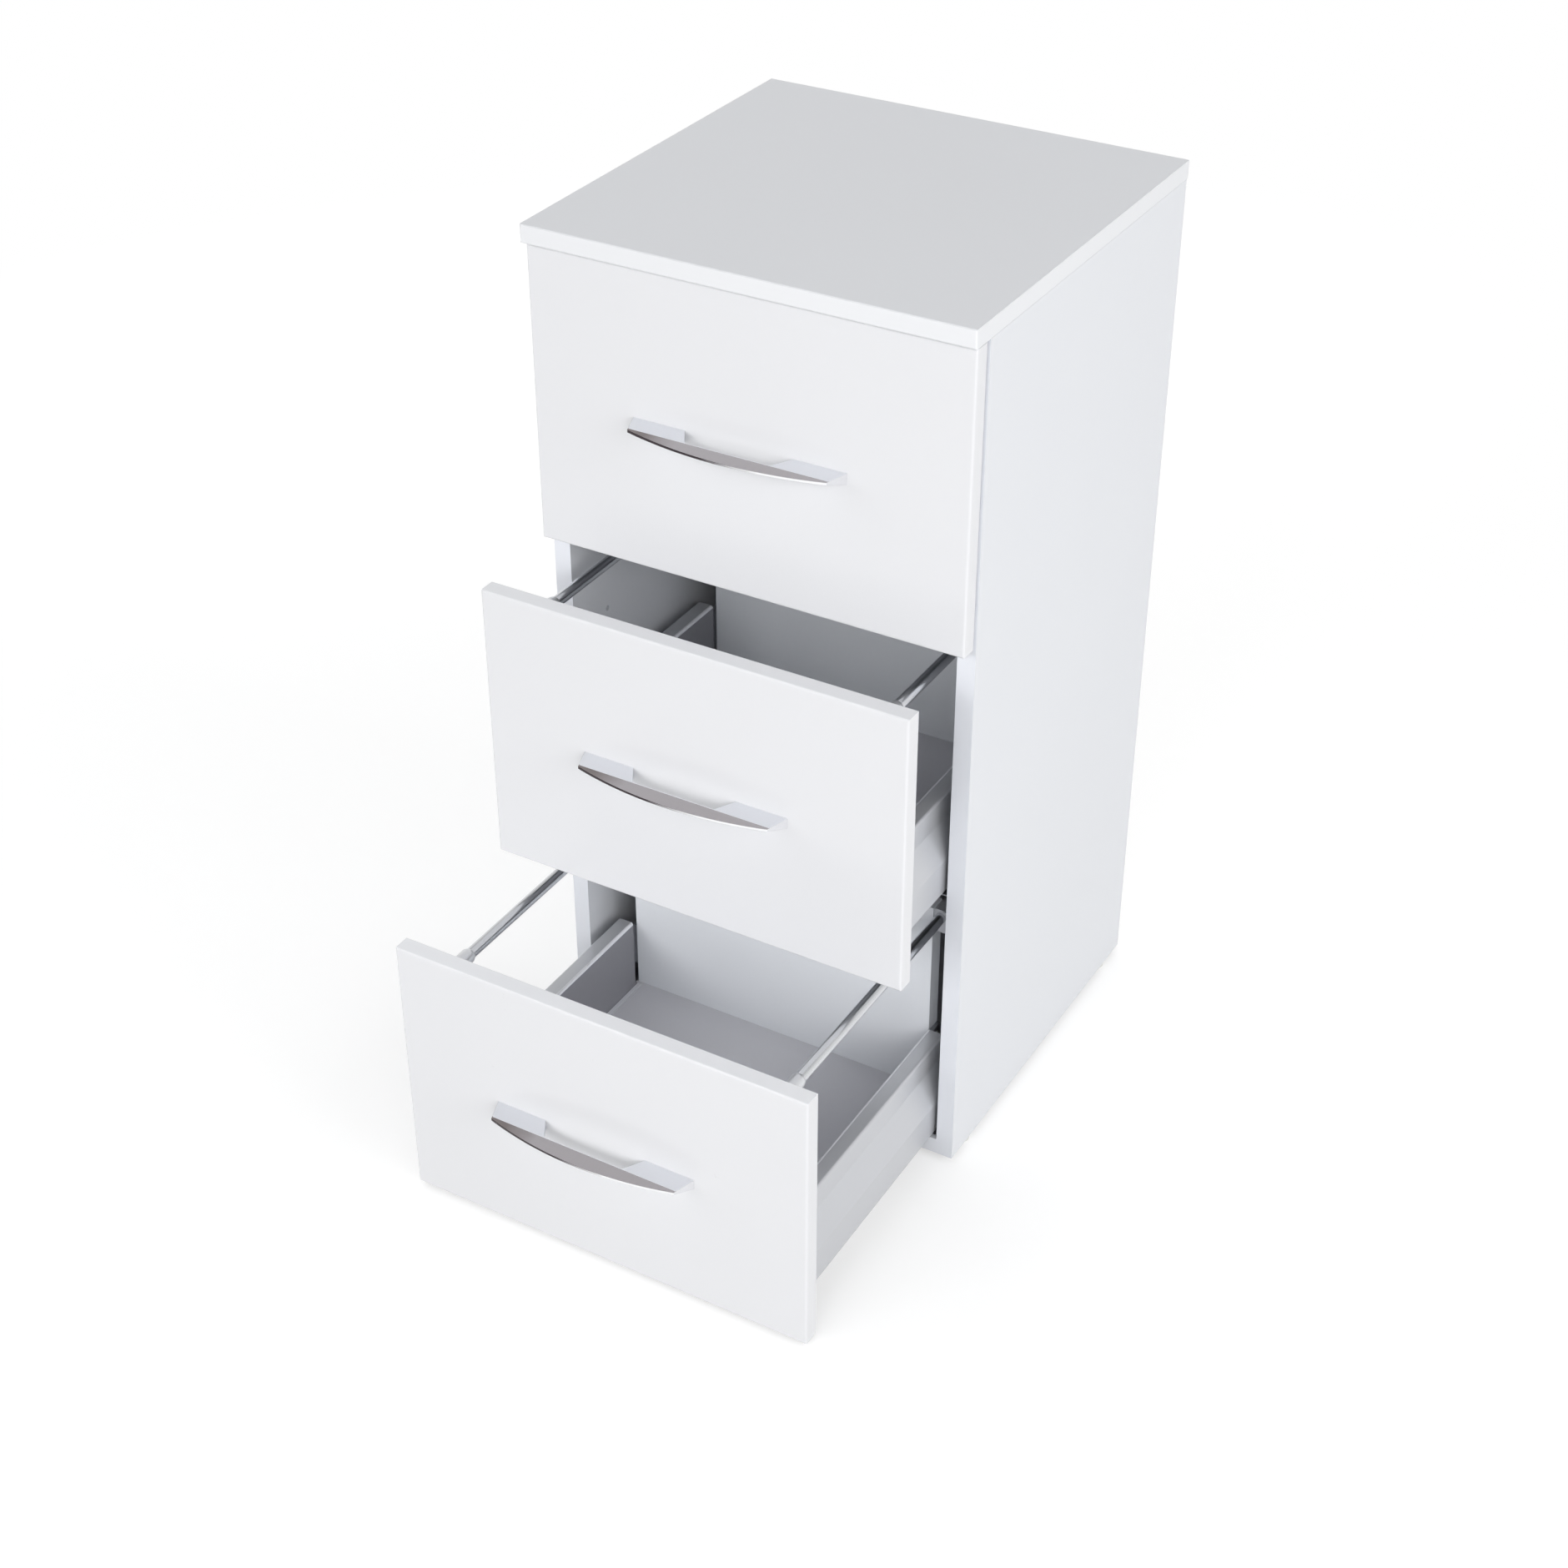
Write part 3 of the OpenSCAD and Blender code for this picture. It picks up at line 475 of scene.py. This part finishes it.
def edge_band():
    """Another colour on the faces that look one way, with the glue joint of the band beside them."""
    def build(t, given):
        coord = t.node("ShaderNodeTexCoord")
        band = t.ramp(t.dot(coord.outputs["Normal"], given["Direction"]), *BAND_FACING)
        along = t.dot(coord.outputs["Object"], given["Direction"])
        off = t.math("ABSOLUTE", t.math("SUBTRACT", along, given["Joint At"]))
        joint = t.ramp(off, 0.0, given["Joint Width"], 1.0, 0.0)
        dark = t.math("SUBTRACT", 1.0, t.math("MULTIPLY", joint, given["Joint Depth"]))
        return {"Color": t.scaled(t.mix(band, given["Face"], given["Edge"]), dark)}
    return node_group("Edge band", {"Face": (0.8, 0.8, 0.8, 1.0), "Edge": (0.7, 0.7, 0.7, 1.0),
                                    "Direction": FORWARD, "Joint At": 0.0, "Joint Width": 0.0003,
                                    "Joint Depth": 0.12},
                      {"Color": "NodeSocketColor"}, build)


def drawn_grain():
    """Fine lines along one direction, as on drawn or brushed metal."""
    def build(t, given):
        place = t.node("ShaderNodeTexCoord").outputs["Object"]
        stretched = t.vector("MULTIPLY", {0: place, 1: given["Stretch"]})
        lines = t.noise(stretched, given["Scale"], detail=4.0, roughness=0.65)
        cloud = t.noise(place, given["Cloud Scale"])
        tone = t.math("ADD", 1.0, t.math("MULTIPLY", given["Tone"], t.math("SUBTRACT", lines, 0.5)))
        spot = t.math("ADD", t.math("SUBTRACT", lines, 0.5), t.math("SUBTRACT", cloud, 0.5))
        rough = t.math("ADD", given["Roughness"], t.math("MULTIPLY", given["Rough Spread"], spot))
        return {"Color": t.scaled(given["Color"], tone), "Roughness": rough, "Height": lines}
    return node_group("Drawn grain", {"Color": (0.6, 0.6, 0.6, 1.0), "Stretch": (1.0, 0.03, 1.0),
                                      "Scale": 1200.0, "Cloud Scale": 25.0, "Tone": 0.1, "Roughness": 0.3,
                                      "Rough Spread": 0.15},
                      SURFACE_OUTPUTS, build)


def new_material(name):
    material = bpy.data.materials.new(name)
    material.use_nodes = True
    t = Tree(material.node_tree)
    shader = material.node_tree.nodes["Principled BSDF"]
    return material, t, shader


def feed(t, shader, surface, strength, depth):
    """Gives a shader the colour, roughness and bump that a surface's node group puts out."""
    t.link(surface.outputs["Color"], shader.inputs["Base Color"])
    t.link(surface.outputs["Roughness"], shader.inputs["Roughness"])
    bump = t.node("ShaderNodeBump", {"Height": surface.outputs["Height"], "Strength": strength,
                                     "Distance": depth})
    t.link(bump.outputs["Normal"], shader.inputs["Normal"])


def skin_material(name, rgb, roughness, edge=None, joint_at=0.0, direction=FORWARD, coat=0.0, shine=0.5,
                  tone=0.02, peel=0.00002, grain=900.0):
    """White board: melamine skin, with an edge band on one side if its colour is given."""
    material, t, shader = new_material(name)
    face = (*rgb, 1.0)
    if edge is not None:
        face = t.group(edge_band(), {"Face": face, "Edge": (*edge, 1.0), "Direction": direction,
                                     "Joint At": joint_at}).outputs["Color"]
    skin = t.group(melamine_skin(), {"Color": face, "Grain Scale": grain, "Tone": tone,
                                     "Roughness": roughness})
    feed(t, shader, skin, SKIN_BUMP, peel)
    shader.inputs["Specular IOR Level"].default_value = shine
    shader.inputs["Coat Weight"].default_value = coat
    shader.inputs["Coat Roughness"].default_value = COAT_ROUGHNESS
    return material


def metal_material(name, rgb, roughness, stretch=(1.0, 0.03, 1.0), tone=0.1, spread_by=0.15, scale=1200.0,
                   metallic=1.0):
    """Metal, lacquered sheet, wood or plastic with fine lines."""
    material, t, shader = new_material(name)
    grain = t.group(drawn_grain(), {"Color": (*rgb, 1.0), "Stretch": stretch, "Scale": scale, "Tone": tone,
                                    "Roughness": roughness, "Rough Spread": spread_by})
    feed(t, shader, grain, GRAIN_BUMP, GRAIN_DEPTH)
    shader.inputs["Metallic"].default_value = metallic
    return material


def dress(node, material, soft=0.0):
    """Gives a CAD node its finish and, if asked, softer edges."""
    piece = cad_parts[node]
    piece.data.materials.clear()
    piece.data.materials.append(material)
    if soft:
        soften(piece, soft)


def put(piece, body, node):
    """Lets a new piece ride on its body and stand for a CAD node."""
    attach(piece, body)
    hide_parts(node)


# Operators

class CABINET_OT_carcase(bpy.types.Operator):
    """Finishes the carcase boards and the back panel"""
    bl_idname = "cabinet.carcase"
    bl_label = "Carcase boards"

    def execute(self, context):
        tint, sizes = context.scene.cabinet_colours, context.scene.cabinet_sizes
        front = -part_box("side_panel_left")[0].y
        # The edge band's colour is lighter than the boards: painted light on the shaded front edges
        board = skin_material("Carcase melamine", tint.carcase, 0.42, edge=tint.carcase_edge_band_lit,
                              joint_at=front - sizes.edge_band_t)
        for node in ("side_panel_left", "side_panel_right", "bottom_panel"):
            dress(node, board, sizes.board_edge_r)
        dress("back_panel", skin_material("Painted fibreboard", tint.fibreboard, 0.6, tone=0.05, grain=500.0,
                                          peel=0.00004))
        return {"FINISHED"}


class CABINET_OT_top(bpy.types.Operator):
    """Makes the top board with its rounded edges"""
    bl_idname = "cabinet.top"
    bl_label = "Top board"

    def execute(self, context):
        tint, sizes = context.scene.cabinet_colours, context.scene.cabinet_sizes
        lo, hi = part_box("top_panel")
        # The up face takes the darker grey as painted shade, and the edges the lighter colour as painted
        # light
        material = skin_material("Top melamine", tint.top_edge_lit, 0.4, edge=tint.top,
                                 joint_at=hi.z - sizes.top_skin_t, direction=UP)
        top = slab("top_board", lo, hi, sizes.top_edge_r, sizes.board_edge_r, [material])
        put(top, "carcase", "top_panel")
        return {"FINISHED"}


class CABINET_OT_fronts(bpy.types.Operator):
    """Makes the gloss drawer fronts"""
    bl_idname = "cabinet.fronts"
    bl_label = "Drawer fronts"

    def execute(self, context):
        tint, sizes = context.scene.cabinet_colours, context.scene.cabinet_sizes
        lacquer = {"coat": 0.45, "shine": 0.3, "tone": 0.015, "grain": 120.0}
        gloss = skin_material("Gloss white", tint.front, 0.3, peel=0.00003, **lacquer)
        rear = skin_material("Front rear melamine", tint.front_back, 0.42)
        # band is a painted highlight on the fronts' upward faces
        band = skin_material("Front edge band", tint.front_top_highlight, 0.3, **lacquer)
        for k in DRAWERS:
            lo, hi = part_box(f"drawer_{k}_front")
            piece = slab(f"drawer_{k}_gloss_front", lo, hi, sizes.front_edge_r, sizes.board_edge_r,
                         [gloss, rear, band])
            # Rear faces take the rear melamine, upward faces the painted highlight, the rest the gloss
            for face in piece.data.polygons:
                face.material_index = 1 if face.normal.y > FACING else 2 if face.normal.z > FACING else 0
            put(piece, f"drawer_{k}", f"drawer_{k}_front")
        return {"FINISHED"}


class CABINET_OT_drawer_boards(bpy.types.Operator):
    """Finishes the drawers' floors and back boards"""
    bl_idname = "cabinet.drawer_boards"
    bl_label = "Drawer boards"

    def execute(self, context):
        tint, sizes = context.scene.cabinet_colours, context.scene.cabinet_sizes
        floor = skin_material("Drawer floor melamine", tint.drawer_floor, 0.45)
        back = skin_material("Drawer back melamine", tint.drawer_board, 0.4)
        for k in DRAWERS:
            dress(f"drawer_{k}_floor", floor, sizes.board_edge_r)
            dress(f"drawer_{k}_back", back, sizes.board_edge_r)
        return {"FINISHED"}


class CABINET_OT_steel_sides(bpy.types.Operator):
    """Makes the double-walled steel sides of the drawers"""
    bl_idname = "cabinet.steel_sides"
    bl_label = "Steel sides"

    def execute(self, context):
        tint, s = context.scene.cabinet_colours, context.scene.cabinet_sizes
        coating = {"tone": 0.03, "spread_by": 0.05, "scale": 600.0}
        steel = metal_material("Coated side steel", tint.side_steel, 0.32, metallic=0.45, **coating)
        # Lit and shaded copies of the side steel: painted highlight and painted shade
        bright = metal_material("Bright side lacquer", tint.side_highlight, 0.28, metallic=0.2, **coating)
        inside = metal_material("Shaded side lacquer", tint.side_shade, 0.35, metallic=0.3, **coating)
        wall = s.bend_steps + 1
        # The floor flange and the upper bend take a painted highlight, and the lower bend and the inner wall
        # painted shade
        finish = {0: 1, **{i: 2 for i in range(1, wall + 1)},
                  **{i: 1 for i in range(wall + 1, wall + 1 + s.bend_steps)}}
        for k in DRAWERS:
            lo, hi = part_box(f"drawer_{k}_side_right")
            x, foot, head = lo.x + s.floor_flange_w, lo.z, hi.z
            floor_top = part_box(f"drawer_{k}_floor")[1].z
            for side, sign in (("right", 1), ("left", -1)):
                skin = [(lo.x, floor_top + s.side_sheet_t), (x, floor_top + s.side_sheet_t), (x, head),
                        (x + s.side_top_w, head), (x + s.side_top_w, head - s.side_neck_h),
                        (hi.x, foot + s.side_foot_h), (hi.x, foot), (hi.x - s.side_lip_w, foot)]
                outline = rounded_path([Vector(p) for p in skin], s.side_bend_r, s.bend_steps)
                path = [Vector((sign * p.x, p.y)) for p in outline]
                piece = bent_sheet(f"drawer_{k}_steel_side_{side}", path, sign * s.side_sheet_t, lo.y, hi.y,
                                   [steel, bright, inside], finish)
                put(piece, f"drawer_{k}", f"drawer_{k}_side_{side}")
        return {"FINISHED"}


class CABINET_OT_rails(bpy.types.Operator):
    """Makes the round gallery rails"""
    bl_idname = "cabinet.rails"
    bl_label = "Gallery rails"

    def execute(self, context):
        tint, s = context.scene.cabinet_colours, context.scene.cabinet_sizes
        nickel = metal_material("Satin nickel", tint.nickel, 0.22, stretch=(1.0, 0.02, 1.0), tone=0.06,
                                spread_by=0.08)
        for k in DRAWERS:
            lo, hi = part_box(f"drawer_{k}_gallery_rails")
            r, cut = (hi.z - lo.z) / 2, s.rail_chamfer
            profile = [(0, lo.y), (r - cut, lo.y), (r, lo.y + cut), (r, hi.y - cut), (r - cut, hi.y),
                       (0, hi.y)]
            bm = bmesh.new()
            for x in (lo.x + r, hi.x - r):
                turned(bm, x, (lo.z + hi.z) / 2, profile, s.turn_steps)
            put(new_piece(f"drawer_{k}_rails", bm, [nickel]), f"drawer_{k}",
                f"drawer_{k}_gallery_rails")
        return {"FINISHED"}


class CABINET_OT_sockets(bpy.types.Operator):
    """Makes the turned sockets that carry the rails on the fronts"""
    bl_idname = "cabinet.sockets"
    bl_label = "Rail sockets"

    socket_r: length("Socket radius", "Radius of the socket's body", 0.00675)
    flange_t: length("Flange thickness", "Thickness of the socket's base flange", 0.0025)
    peg_r: length("Peg radius", "Radius of the peg in the front", 0.004)
    nose: length("Socket taper", "Length of the tapered end", 0.0025)
    mouth_r: length("Mouth radius", "Outer radius at the rail end", 0.0055)
    rail_r: length("Rail radius", "Radius of the rail in the socket", 0.005)
    rail_play: length("Rail play", "Gap between the rail and the socket's bore", 0.00005)

    def execute(self, context):
        tint, s = context.scene.cabinet_colours, context.scene.cabinet_sizes
        fitting = metal_material("Satin fitting", tint.fitting, 0.3, stretch=EVEN, tone=0.04, spread_by=0.08,
                                 scale=900.0, metallic=0.7)
        for k in DRAWERS:
            lo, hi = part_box(f"drawer_{k}_rail_sockets")
            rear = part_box(f"drawer_{k}_front")[1].y
            rail_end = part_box(f"drawer_{k}_gallery_rails")[0].y
            bore_r = self.rail_r + self.rail_play
            flange_r = (hi.z - lo.z) / 2
            soft = s.metal_edge_r
            face, nose = rear + self.flange_t, hi.y - self.nose
            profile = [(0, lo.y), (self.peg_r - soft, lo.y), (self.peg_r, lo.y + soft), (self.peg_r, rear),
                       (flange_r - soft, rear), (flange_r, rear + soft), (flange_r, face - soft),
                       (flange_r - soft, face), (self.socket_r + 2 * soft, face),
                       (self.socket_r, face + 2 * soft), (self.socket_r, nose - soft),
                       (self.socket_r - soft, nose + soft), (self.mouth_r + soft, hi.y - soft),
                       (self.mouth_r, hi.y), (bore_r, hi.y), (bore_r, rail_end), (0, rail_end)]
            bm = bmesh.new()
            for x in (lo.x + flange_r, hi.x - flange_r):
                turned(bm, x, (lo.z + hi.z) / 2, profile, s.turn_steps)
            put(new_piece(f"drawer_{k}_sockets", bm, [fitting]), f"drawer_{k}",
                f"drawer_{k}_rail_sockets")
        return {"FINISHED"}


class CABINET_OT_holders(bpy.types.Operator):
    """Finishes the rear holders of the rails"""
    bl_idname = "cabinet.holders"
    bl_label = "Rail holders"

    def execute(self, context):
        tint, sizes = context.scene.cabinet_colours, context.scene.cabinet_sizes
        fitting = metal_material("Holder fitting", tint.fitting, 0.32, stretch=EVEN, tone=0.04,
                                 spread_by=0.08, scale=900.0, metallic=0.5)
        for k in DRAWERS:
            dress(f"drawer_{k}_rail_holders", fitting, sizes.metal_edge_r)
        return {"FINISHED"}


class CABINET_OT_handles(bpy.types.Operator):
    """Makes the bow handles with their polished lens"""
    bl_idname = "cabinet.handles"
    bl_label = "Handles"

    def rear_edge(self, x, half, s):
        """How far the handle's rear edge lies ahead of the face at x from its middle."""
        outer = half - s.leg_w
        inner = outer - s.gap_taper
        corner, flank = Vector((inner, s.gap_depth)), Vector((outer, 0.0)) - Vector((inner, s.gap_depth))
        bend = flank.angle(Vector((-1.0, 0.0))) / 2
        reach = s.gap_r / math.tan(bend)
        centre = Vector((corner.x - reach, corner.y - s.gap_r))
        touch = corner.x + reach * flank.normalized().x
        if x >= outer:
            return 0.0
        if x >= touch:
            return s.gap_depth * (outer - x) / s.gap_taper
        if x > centre.x:
            return centre.y + math.sqrt(max(0.0, s.gap_r ** 2 - (x - centre.x) ** 2))
        return s.gap_depth

    def front_edge(self, x, half, reach, s):
        """How far the handle's front edge lies ahead of the face at x from its middle."""
        bow = half - s.end_taper
        if x >= bow:
            return s.end_reach * (half - x) / s.end_taper
        sag = reach - s.end_reach
        r = (bow ** 2 + sag ** 2) / (2 * sag)
        return reach - r + math.sqrt(r ** 2 - x ** 2)

    def section(self, x, half, reach, top, base, s):
        """The six corners of the handle's section at x, as how far ahead and how high."""
        rear, front = self.rear_edge(abs(x), half, s), self.front_edge(abs(x), half, reach, s)
        lens = s.gap_depth + s.bow_rim
        bow_z = top - s.leg_fall
        edge_z = bow_z - s.bow_fall
        low = edge_z - s.bow_edge_t

        def upper(d):
            if d <= s.gap_depth:
                return top - s.leg_fall * d / s.gap_depth
            return bow_z - s.bow_fall * (d - s.gap_depth) / (reach - s.gap_depth)

        def under(d):
            return base + (low - base) * min(d / s.end_reach, 1.0)

        knee, knee_low = min(max(lens, rear), front), min(max(s.end_reach, rear), front)
        return [(rear, upper(rear)), (knee, upper(knee)), (front, upper(front)), (front, under(front)),
                (knee_low, under(knee_low)), (rear, under(rear))]

    def execute(self, context):
        tint, s = context.scene.cabinet_colours, context.scene.cabinet_sizes
        satin = metal_material("Satin chrome", tint.handle_satin, 0.34, stretch=(0.04, 1.0, 1.0), tone=0.05,
                               spread_by=0.06, scale=1500.0)
        # The lens and front edge carry a painted reflection, dark at the left and bright to the right
        lens = self.polished("Polished lens", tint.lens_dark_reflection, tint.lens, *LENS_REFLECTION_FADE)
        rim = self.polished("Polished edge", tint.rim_dark_reflection, tint.rim, *RIM_REFLECTION_FADE)
        for k in DRAWERS:
            lo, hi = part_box(f"drawer_{k}_handle")
            half, reach, middle = (hi.x - lo.x) / 2, hi.y - lo.y, (hi.x + lo.x) / 2
            outer, bow = half - s.leg_w, half - s.end_taper
            inner = outer - s.gap_taper - s.gap_r
            ends = (0.0, inner, outer, bow, half)
            right = []
            for start, end, count in zip(ends, ends[1:], HANDLE_SECTIONS):
                right += spread(start, end, count)[1:]
            places = [-x for x in reversed(right)] + [0.0] + right
            bm = bmesh.new()
            rings = []
            for x in places:
                points = self.section(x, half, reach, hi.z, lo.z, s)
                rings.append([bm.verts.new((middle + x, hi.y - d, z)) for d, z in points])
            for first, second in zip(rings, rings[1:]):
                for i, finish in enumerate(SECTION_FINISH):
                    j = (i + 1) % len(first)
                    face = bm.faces.new((first[i], first[j], second[j], second[i]))
                    face.material_index = finish
            for ring in (rings[0], rings[-1]):
                bm.faces.new(ring)
            piece = new_piece(f"drawer_{k}_bow_handle", bm, [satin, lens, rim], smooth=25)
            bevel = soften(piece, s.metal_edge_r, segments=3, angle=25)
            bevel.harden_normals = True
            put(piece, f"drawer_{k}", f"drawer_{k}_handle")
        return {"FINISHED"}

    def polished(self, name, dark, bright, dark_x, bright_x):
        """Polished chrome with fine lines along X, and a painted reflection dark up to dark_x and bright from
        bright_x on.
        """
        material, t, shader = new_material(name)
        place = t.node("ShaderNodeTexCoord").outputs["Object"]
        x = t.node("ShaderNodeSeparateXYZ", {0: place}).outputs["X"]
        wave = t.math("SUBTRACT", t.noise(place, FADE_WAVE_SCALE, detail=3.0), 0.5)
        along = t.math("ADD", x, t.math("MULTIPLY", FADE_WAVE, wave))
        light = t.ramp(along, dark_x, bright_x)
        grain = t.group(drawn_grain(), {"Color": t.mix(light, dark, bright), "Stretch": (0.02, 1.0, 1.0),
                                        "Scale": 500.0, "Tone": 0.08, "Roughness": 0.1, "Rough Spread": 0.05})
        feed(t, shader, grain, GRAIN_BUMP, GRAIN_DEPTH)
        shader.inputs["Metallic"].default_value = 1.0
        return material


class CABINET_OT_fastenings(bpy.types.Operator):
    """Finishes the runners, brackets, fastenings and glides"""
    bl_idname = "cabinet.fastenings"
    bl_label = "Runners and fastenings"

    def execute(self, context):
        tint = context.scene.cabinet_colours
        plate = metal_material("Zinc plated steel", tint.zinc_plate, 0.33, tone=0.12, spread_by=0.2,
                               scale=300.0)
        screw = metal_material("Bright zinc", tint.screw, 0.3, stretch=EVEN, tone=0.1, scale=900.0)
        cast = metal_material("Cast zinc", tint.cast_zinc, 0.45, stretch=EVEN, tone=0.15, scale=700.0)
        beech = metal_material("Beech dowel", tint.beech, 0.6, stretch=(0.08, 1.0, 1.0), tone=0.35,
                               scale=500.0, metallic=0.0)
        plastic = metal_material("Glide plastic", tint.glide, 0.45, stretch=EVEN, tone=0.04, scale=800.0,
                                 metallic=0.0)
        for node, material in (("cam_locks", cast), ("cam_bolts", screw), ("dowels", beech),
                               ("back_nails", screw), ("glides", plastic), ("runner_screws", screw)):
            dress(node, material)
        for k in DRAWERS:
            for node in (f"runner_{k}_fixed", f"runner_{k}_middle", f"drawer_{k}_runner",
                         f"drawer_{k}_brackets"):
                dress(node, plate)
            for node in (f"drawer_{k}_screws", f"drawer_{k}_handle_screws"):
                dress(node, screw)
        return {"FINISHED"}


class CABINET_OT_stage(bpy.types.Operator):
    """Sets up the floor, the light and the camera"""
    bl_idname = "cabinet.stage"
    bl_label = "Studio and camera"

    def execute(self, context):
        scene, stage, tint = context.scene, context.scene.cabinet_stage, context.scene.cabinet_colours
        self.add_floor(stage, tint)
        self.add_sky(scene, stage)
        for name, power, place in LAMPS:
            self.add_lamp(scene, name, getattr(stage, power), place)
        self.add_camera(scene, stage)
        scene.view_settings.view_transform = "Standard"
        return {"FINISHED"}

    def add_floor(self, stage, tint):
        """Adds a floor that looks white with the cabinet's shadow, but throws back only grey light."""
        bm = bmesh.new()
        bmesh.ops.create_grid(bm, x_segments=8, y_segments=8, size=stage.floor_r)
        for v in bm.verts:
            v.co.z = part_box("glides")[0].z
        material, t, shader = new_material("Studio floor")
        shader.inputs["Roughness"].default_value = FLOOR_ROUGHNESS
        place = t.node("ShaderNodeTexCoord").outputs["Object"]
        patches = [c * stage.floor_patches for c in tint.floor]
        t.link(t.mix(t.noise(place, PATCH_SCALE), tint.floor, patches), shader.inputs["Base Color"])
        path = t.node("ShaderNodeLightPath").outputs
        seen = t.math("MAXIMUM", path["Is Camera Ray"], t.math("MAXIMUM", path["Is Glossy Ray"],
                                                               path["Is Transmission Ray"]))
        shade = t.node("ShaderNodeBsdfDiffuse", {"Color": (*[stage.floor_shade] * 3, 1.0)}).outputs[0]
        glow = self.white_glow(t, 1.0 - stage.floor_shade * stage.floor_light)
        near = t.node("ShaderNodeAddShader", {0: shade, 1: glow}).outputs[0]
        fade = t.ramp(t.vector("LENGTH", {0: place}, "Value"), stage.shade_near, stage.shade_far)
        shown = t.node("ShaderNodeMixShader", {0: fade, 1: near, 2: self.white_glow(t, 1.0)}).outputs[0]
        mixed = t.node("ShaderNodeMixShader", {0: seen, 1: shader.outputs[0], 2: shown}).outputs[0]
        t.link(mixed, t.tree.nodes["Material Output"].inputs["Surface"])
        floor = new_piece("studio_floor", bm, [material])

    def white_glow(self, t, strength):
        return t.node("ShaderNodeEmission", {"Color": (1.0, 1.0, 1.0, 1.0), "Strength": strength}).outputs[0]

    def add_sky(self, scene, stage):
        """Adds a sky that looks white, lights the cabinet from a ring, and mirrors darker overhead."""
        world = bpy.data.worlds.new("Studio sky")
        world.use_nodes = True
        scene.world = world
        t = Tree(world.node_tree)
        background = world.node_tree.nodes["Background"]
        place = t.node("ShaderNodeTexCoord").outputs["Generated"]
        z = t.node("ShaderNodeSeparateXYZ", {0: place}).outputs["Z"]
        ring = t.math("MULTIPLY", t.ramp(z, *RING_START), t.ramp(z, *RING_END, 1.0, 0.0))
        light = t.math("MULTIPLY", ring, stage.sky_power)
        shine = t.ramp(z, *SHINE_FALL, 1.0, SHINE_OVERHEAD)
        path = t.node("ShaderNodeLightPath").outputs
        plain = t.math("MAXIMUM", path["Is Camera Ray"], path["Is Transmission Ray"])
        strength = t.node("ShaderNodeMix", {0: path["Is Glossy Ray"], 2: light, 3: shine}).outputs[0]
        strength = t.node("ShaderNodeMix", {0: plain, 2: strength, 3: 1.0}).outputs[0]
        background.inputs["Color"].default_value = (1.0, 1.0, 1.0, 1.0)
        t.link(strength, background.inputs["Strength"])

    def add_lamp(self, scene, name, power, place):
        lamp = bpy.data.lights.new(name, "AREA")
        lamp.shape = "RECTANGLE"
        lamp.size, lamp.size_y = LAMP_SIZE
        lamp.energy = power
        softbox = bpy.data.objects.new(name, lamp)
        softbox.location = place
        softbox.rotation_euler = (LAMP_AIM - softbox.location).to_track_quat("-Z", "Y").to_euler()
        softbox.visible_glossy = False
        scene.collection.objects.link(softbox)

    def add_camera(self, scene, stage):
        data = bpy.data.cameras.new("Camera")
        data.lens = stage.camera_lens
        data.sensor_width = SENSOR_WIDTH
        camera = bpy.data.objects.new("Camera", data)
        camera.location = stage.camera_at
        camera.rotation_euler = (math.radians(90) - stage.camera_pitch, 0.0, stage.camera_azimuth)
        scene.collection.objects.link(camera)
        scene.camera = camera


class CABINET_PT_panel(bpy.types.Panel):
    """Lists the cabinet's pieces, sizes and colours"""
    bl_idname = "CABINET_PT_panel"
    bl_label = "Bathroom cabinet"
    bl_space_type = "VIEW_3D"
    bl_region_type = "UI"
    bl_category = "Cabinet"

    def draw(self, context):
        for step in STEPS:
            self.layout.operator(step.bl_idname)
        scene = context.scene
        for label, group in (("Sizes", scene.cabinet_sizes), ("Colours", scene.cabinet_colours),
                             ("Stage", scene.cabinet_stage)):
            box = self.layout.box()
            box.label(text=label)
            for name in group.__annotations__:
                box.prop(group, name)


STEPS = (CABINET_OT_carcase, CABINET_OT_top, CABINET_OT_fronts, CABINET_OT_drawer_boards,
         CABINET_OT_steel_sides, CABINET_OT_rails, CABINET_OT_sockets, CABINET_OT_holders, CABINET_OT_handles,
         CABINET_OT_fastenings, CABINET_OT_stage)
GROUPS = {"cabinet_sizes": CabinetSizes, "cabinet_colours": CabinetColours, "cabinet_stage": CabinetStage}


def register():
    for kind in (*GROUPS.values(), *STEPS, CABINET_PT_panel):
        bpy.utils.register_class(kind)
    for name, kind in GROUPS.items():
        setattr(bpy.types.Scene, name, PointerProperty(type=kind))


def unregister():
    for name in GROUPS:
        delattr(bpy.types.Scene, name)
    for kind in reversed((*GROUPS.values(), *STEPS, CABINET_PT_panel)):
        bpy.utils.unregister_class(kind)


def main():
    register()
    bpy.ops.cabinet.carcase()
    bpy.ops.cabinet.top()
    bpy.ops.cabinet.fronts()
    bpy.ops.cabinet.drawer_boards()
    bpy.ops.cabinet.steel_sides()
    bpy.ops.cabinet.rails()
    bpy.ops.cabinet.sockets()
    bpy.ops.cabinet.holders()
    bpy.ops.cabinet.handles()
    bpy.ops.cabinet.fastenings()
    bpy.ops.cabinet.stage()


if __name__ == "__main__":
    main()
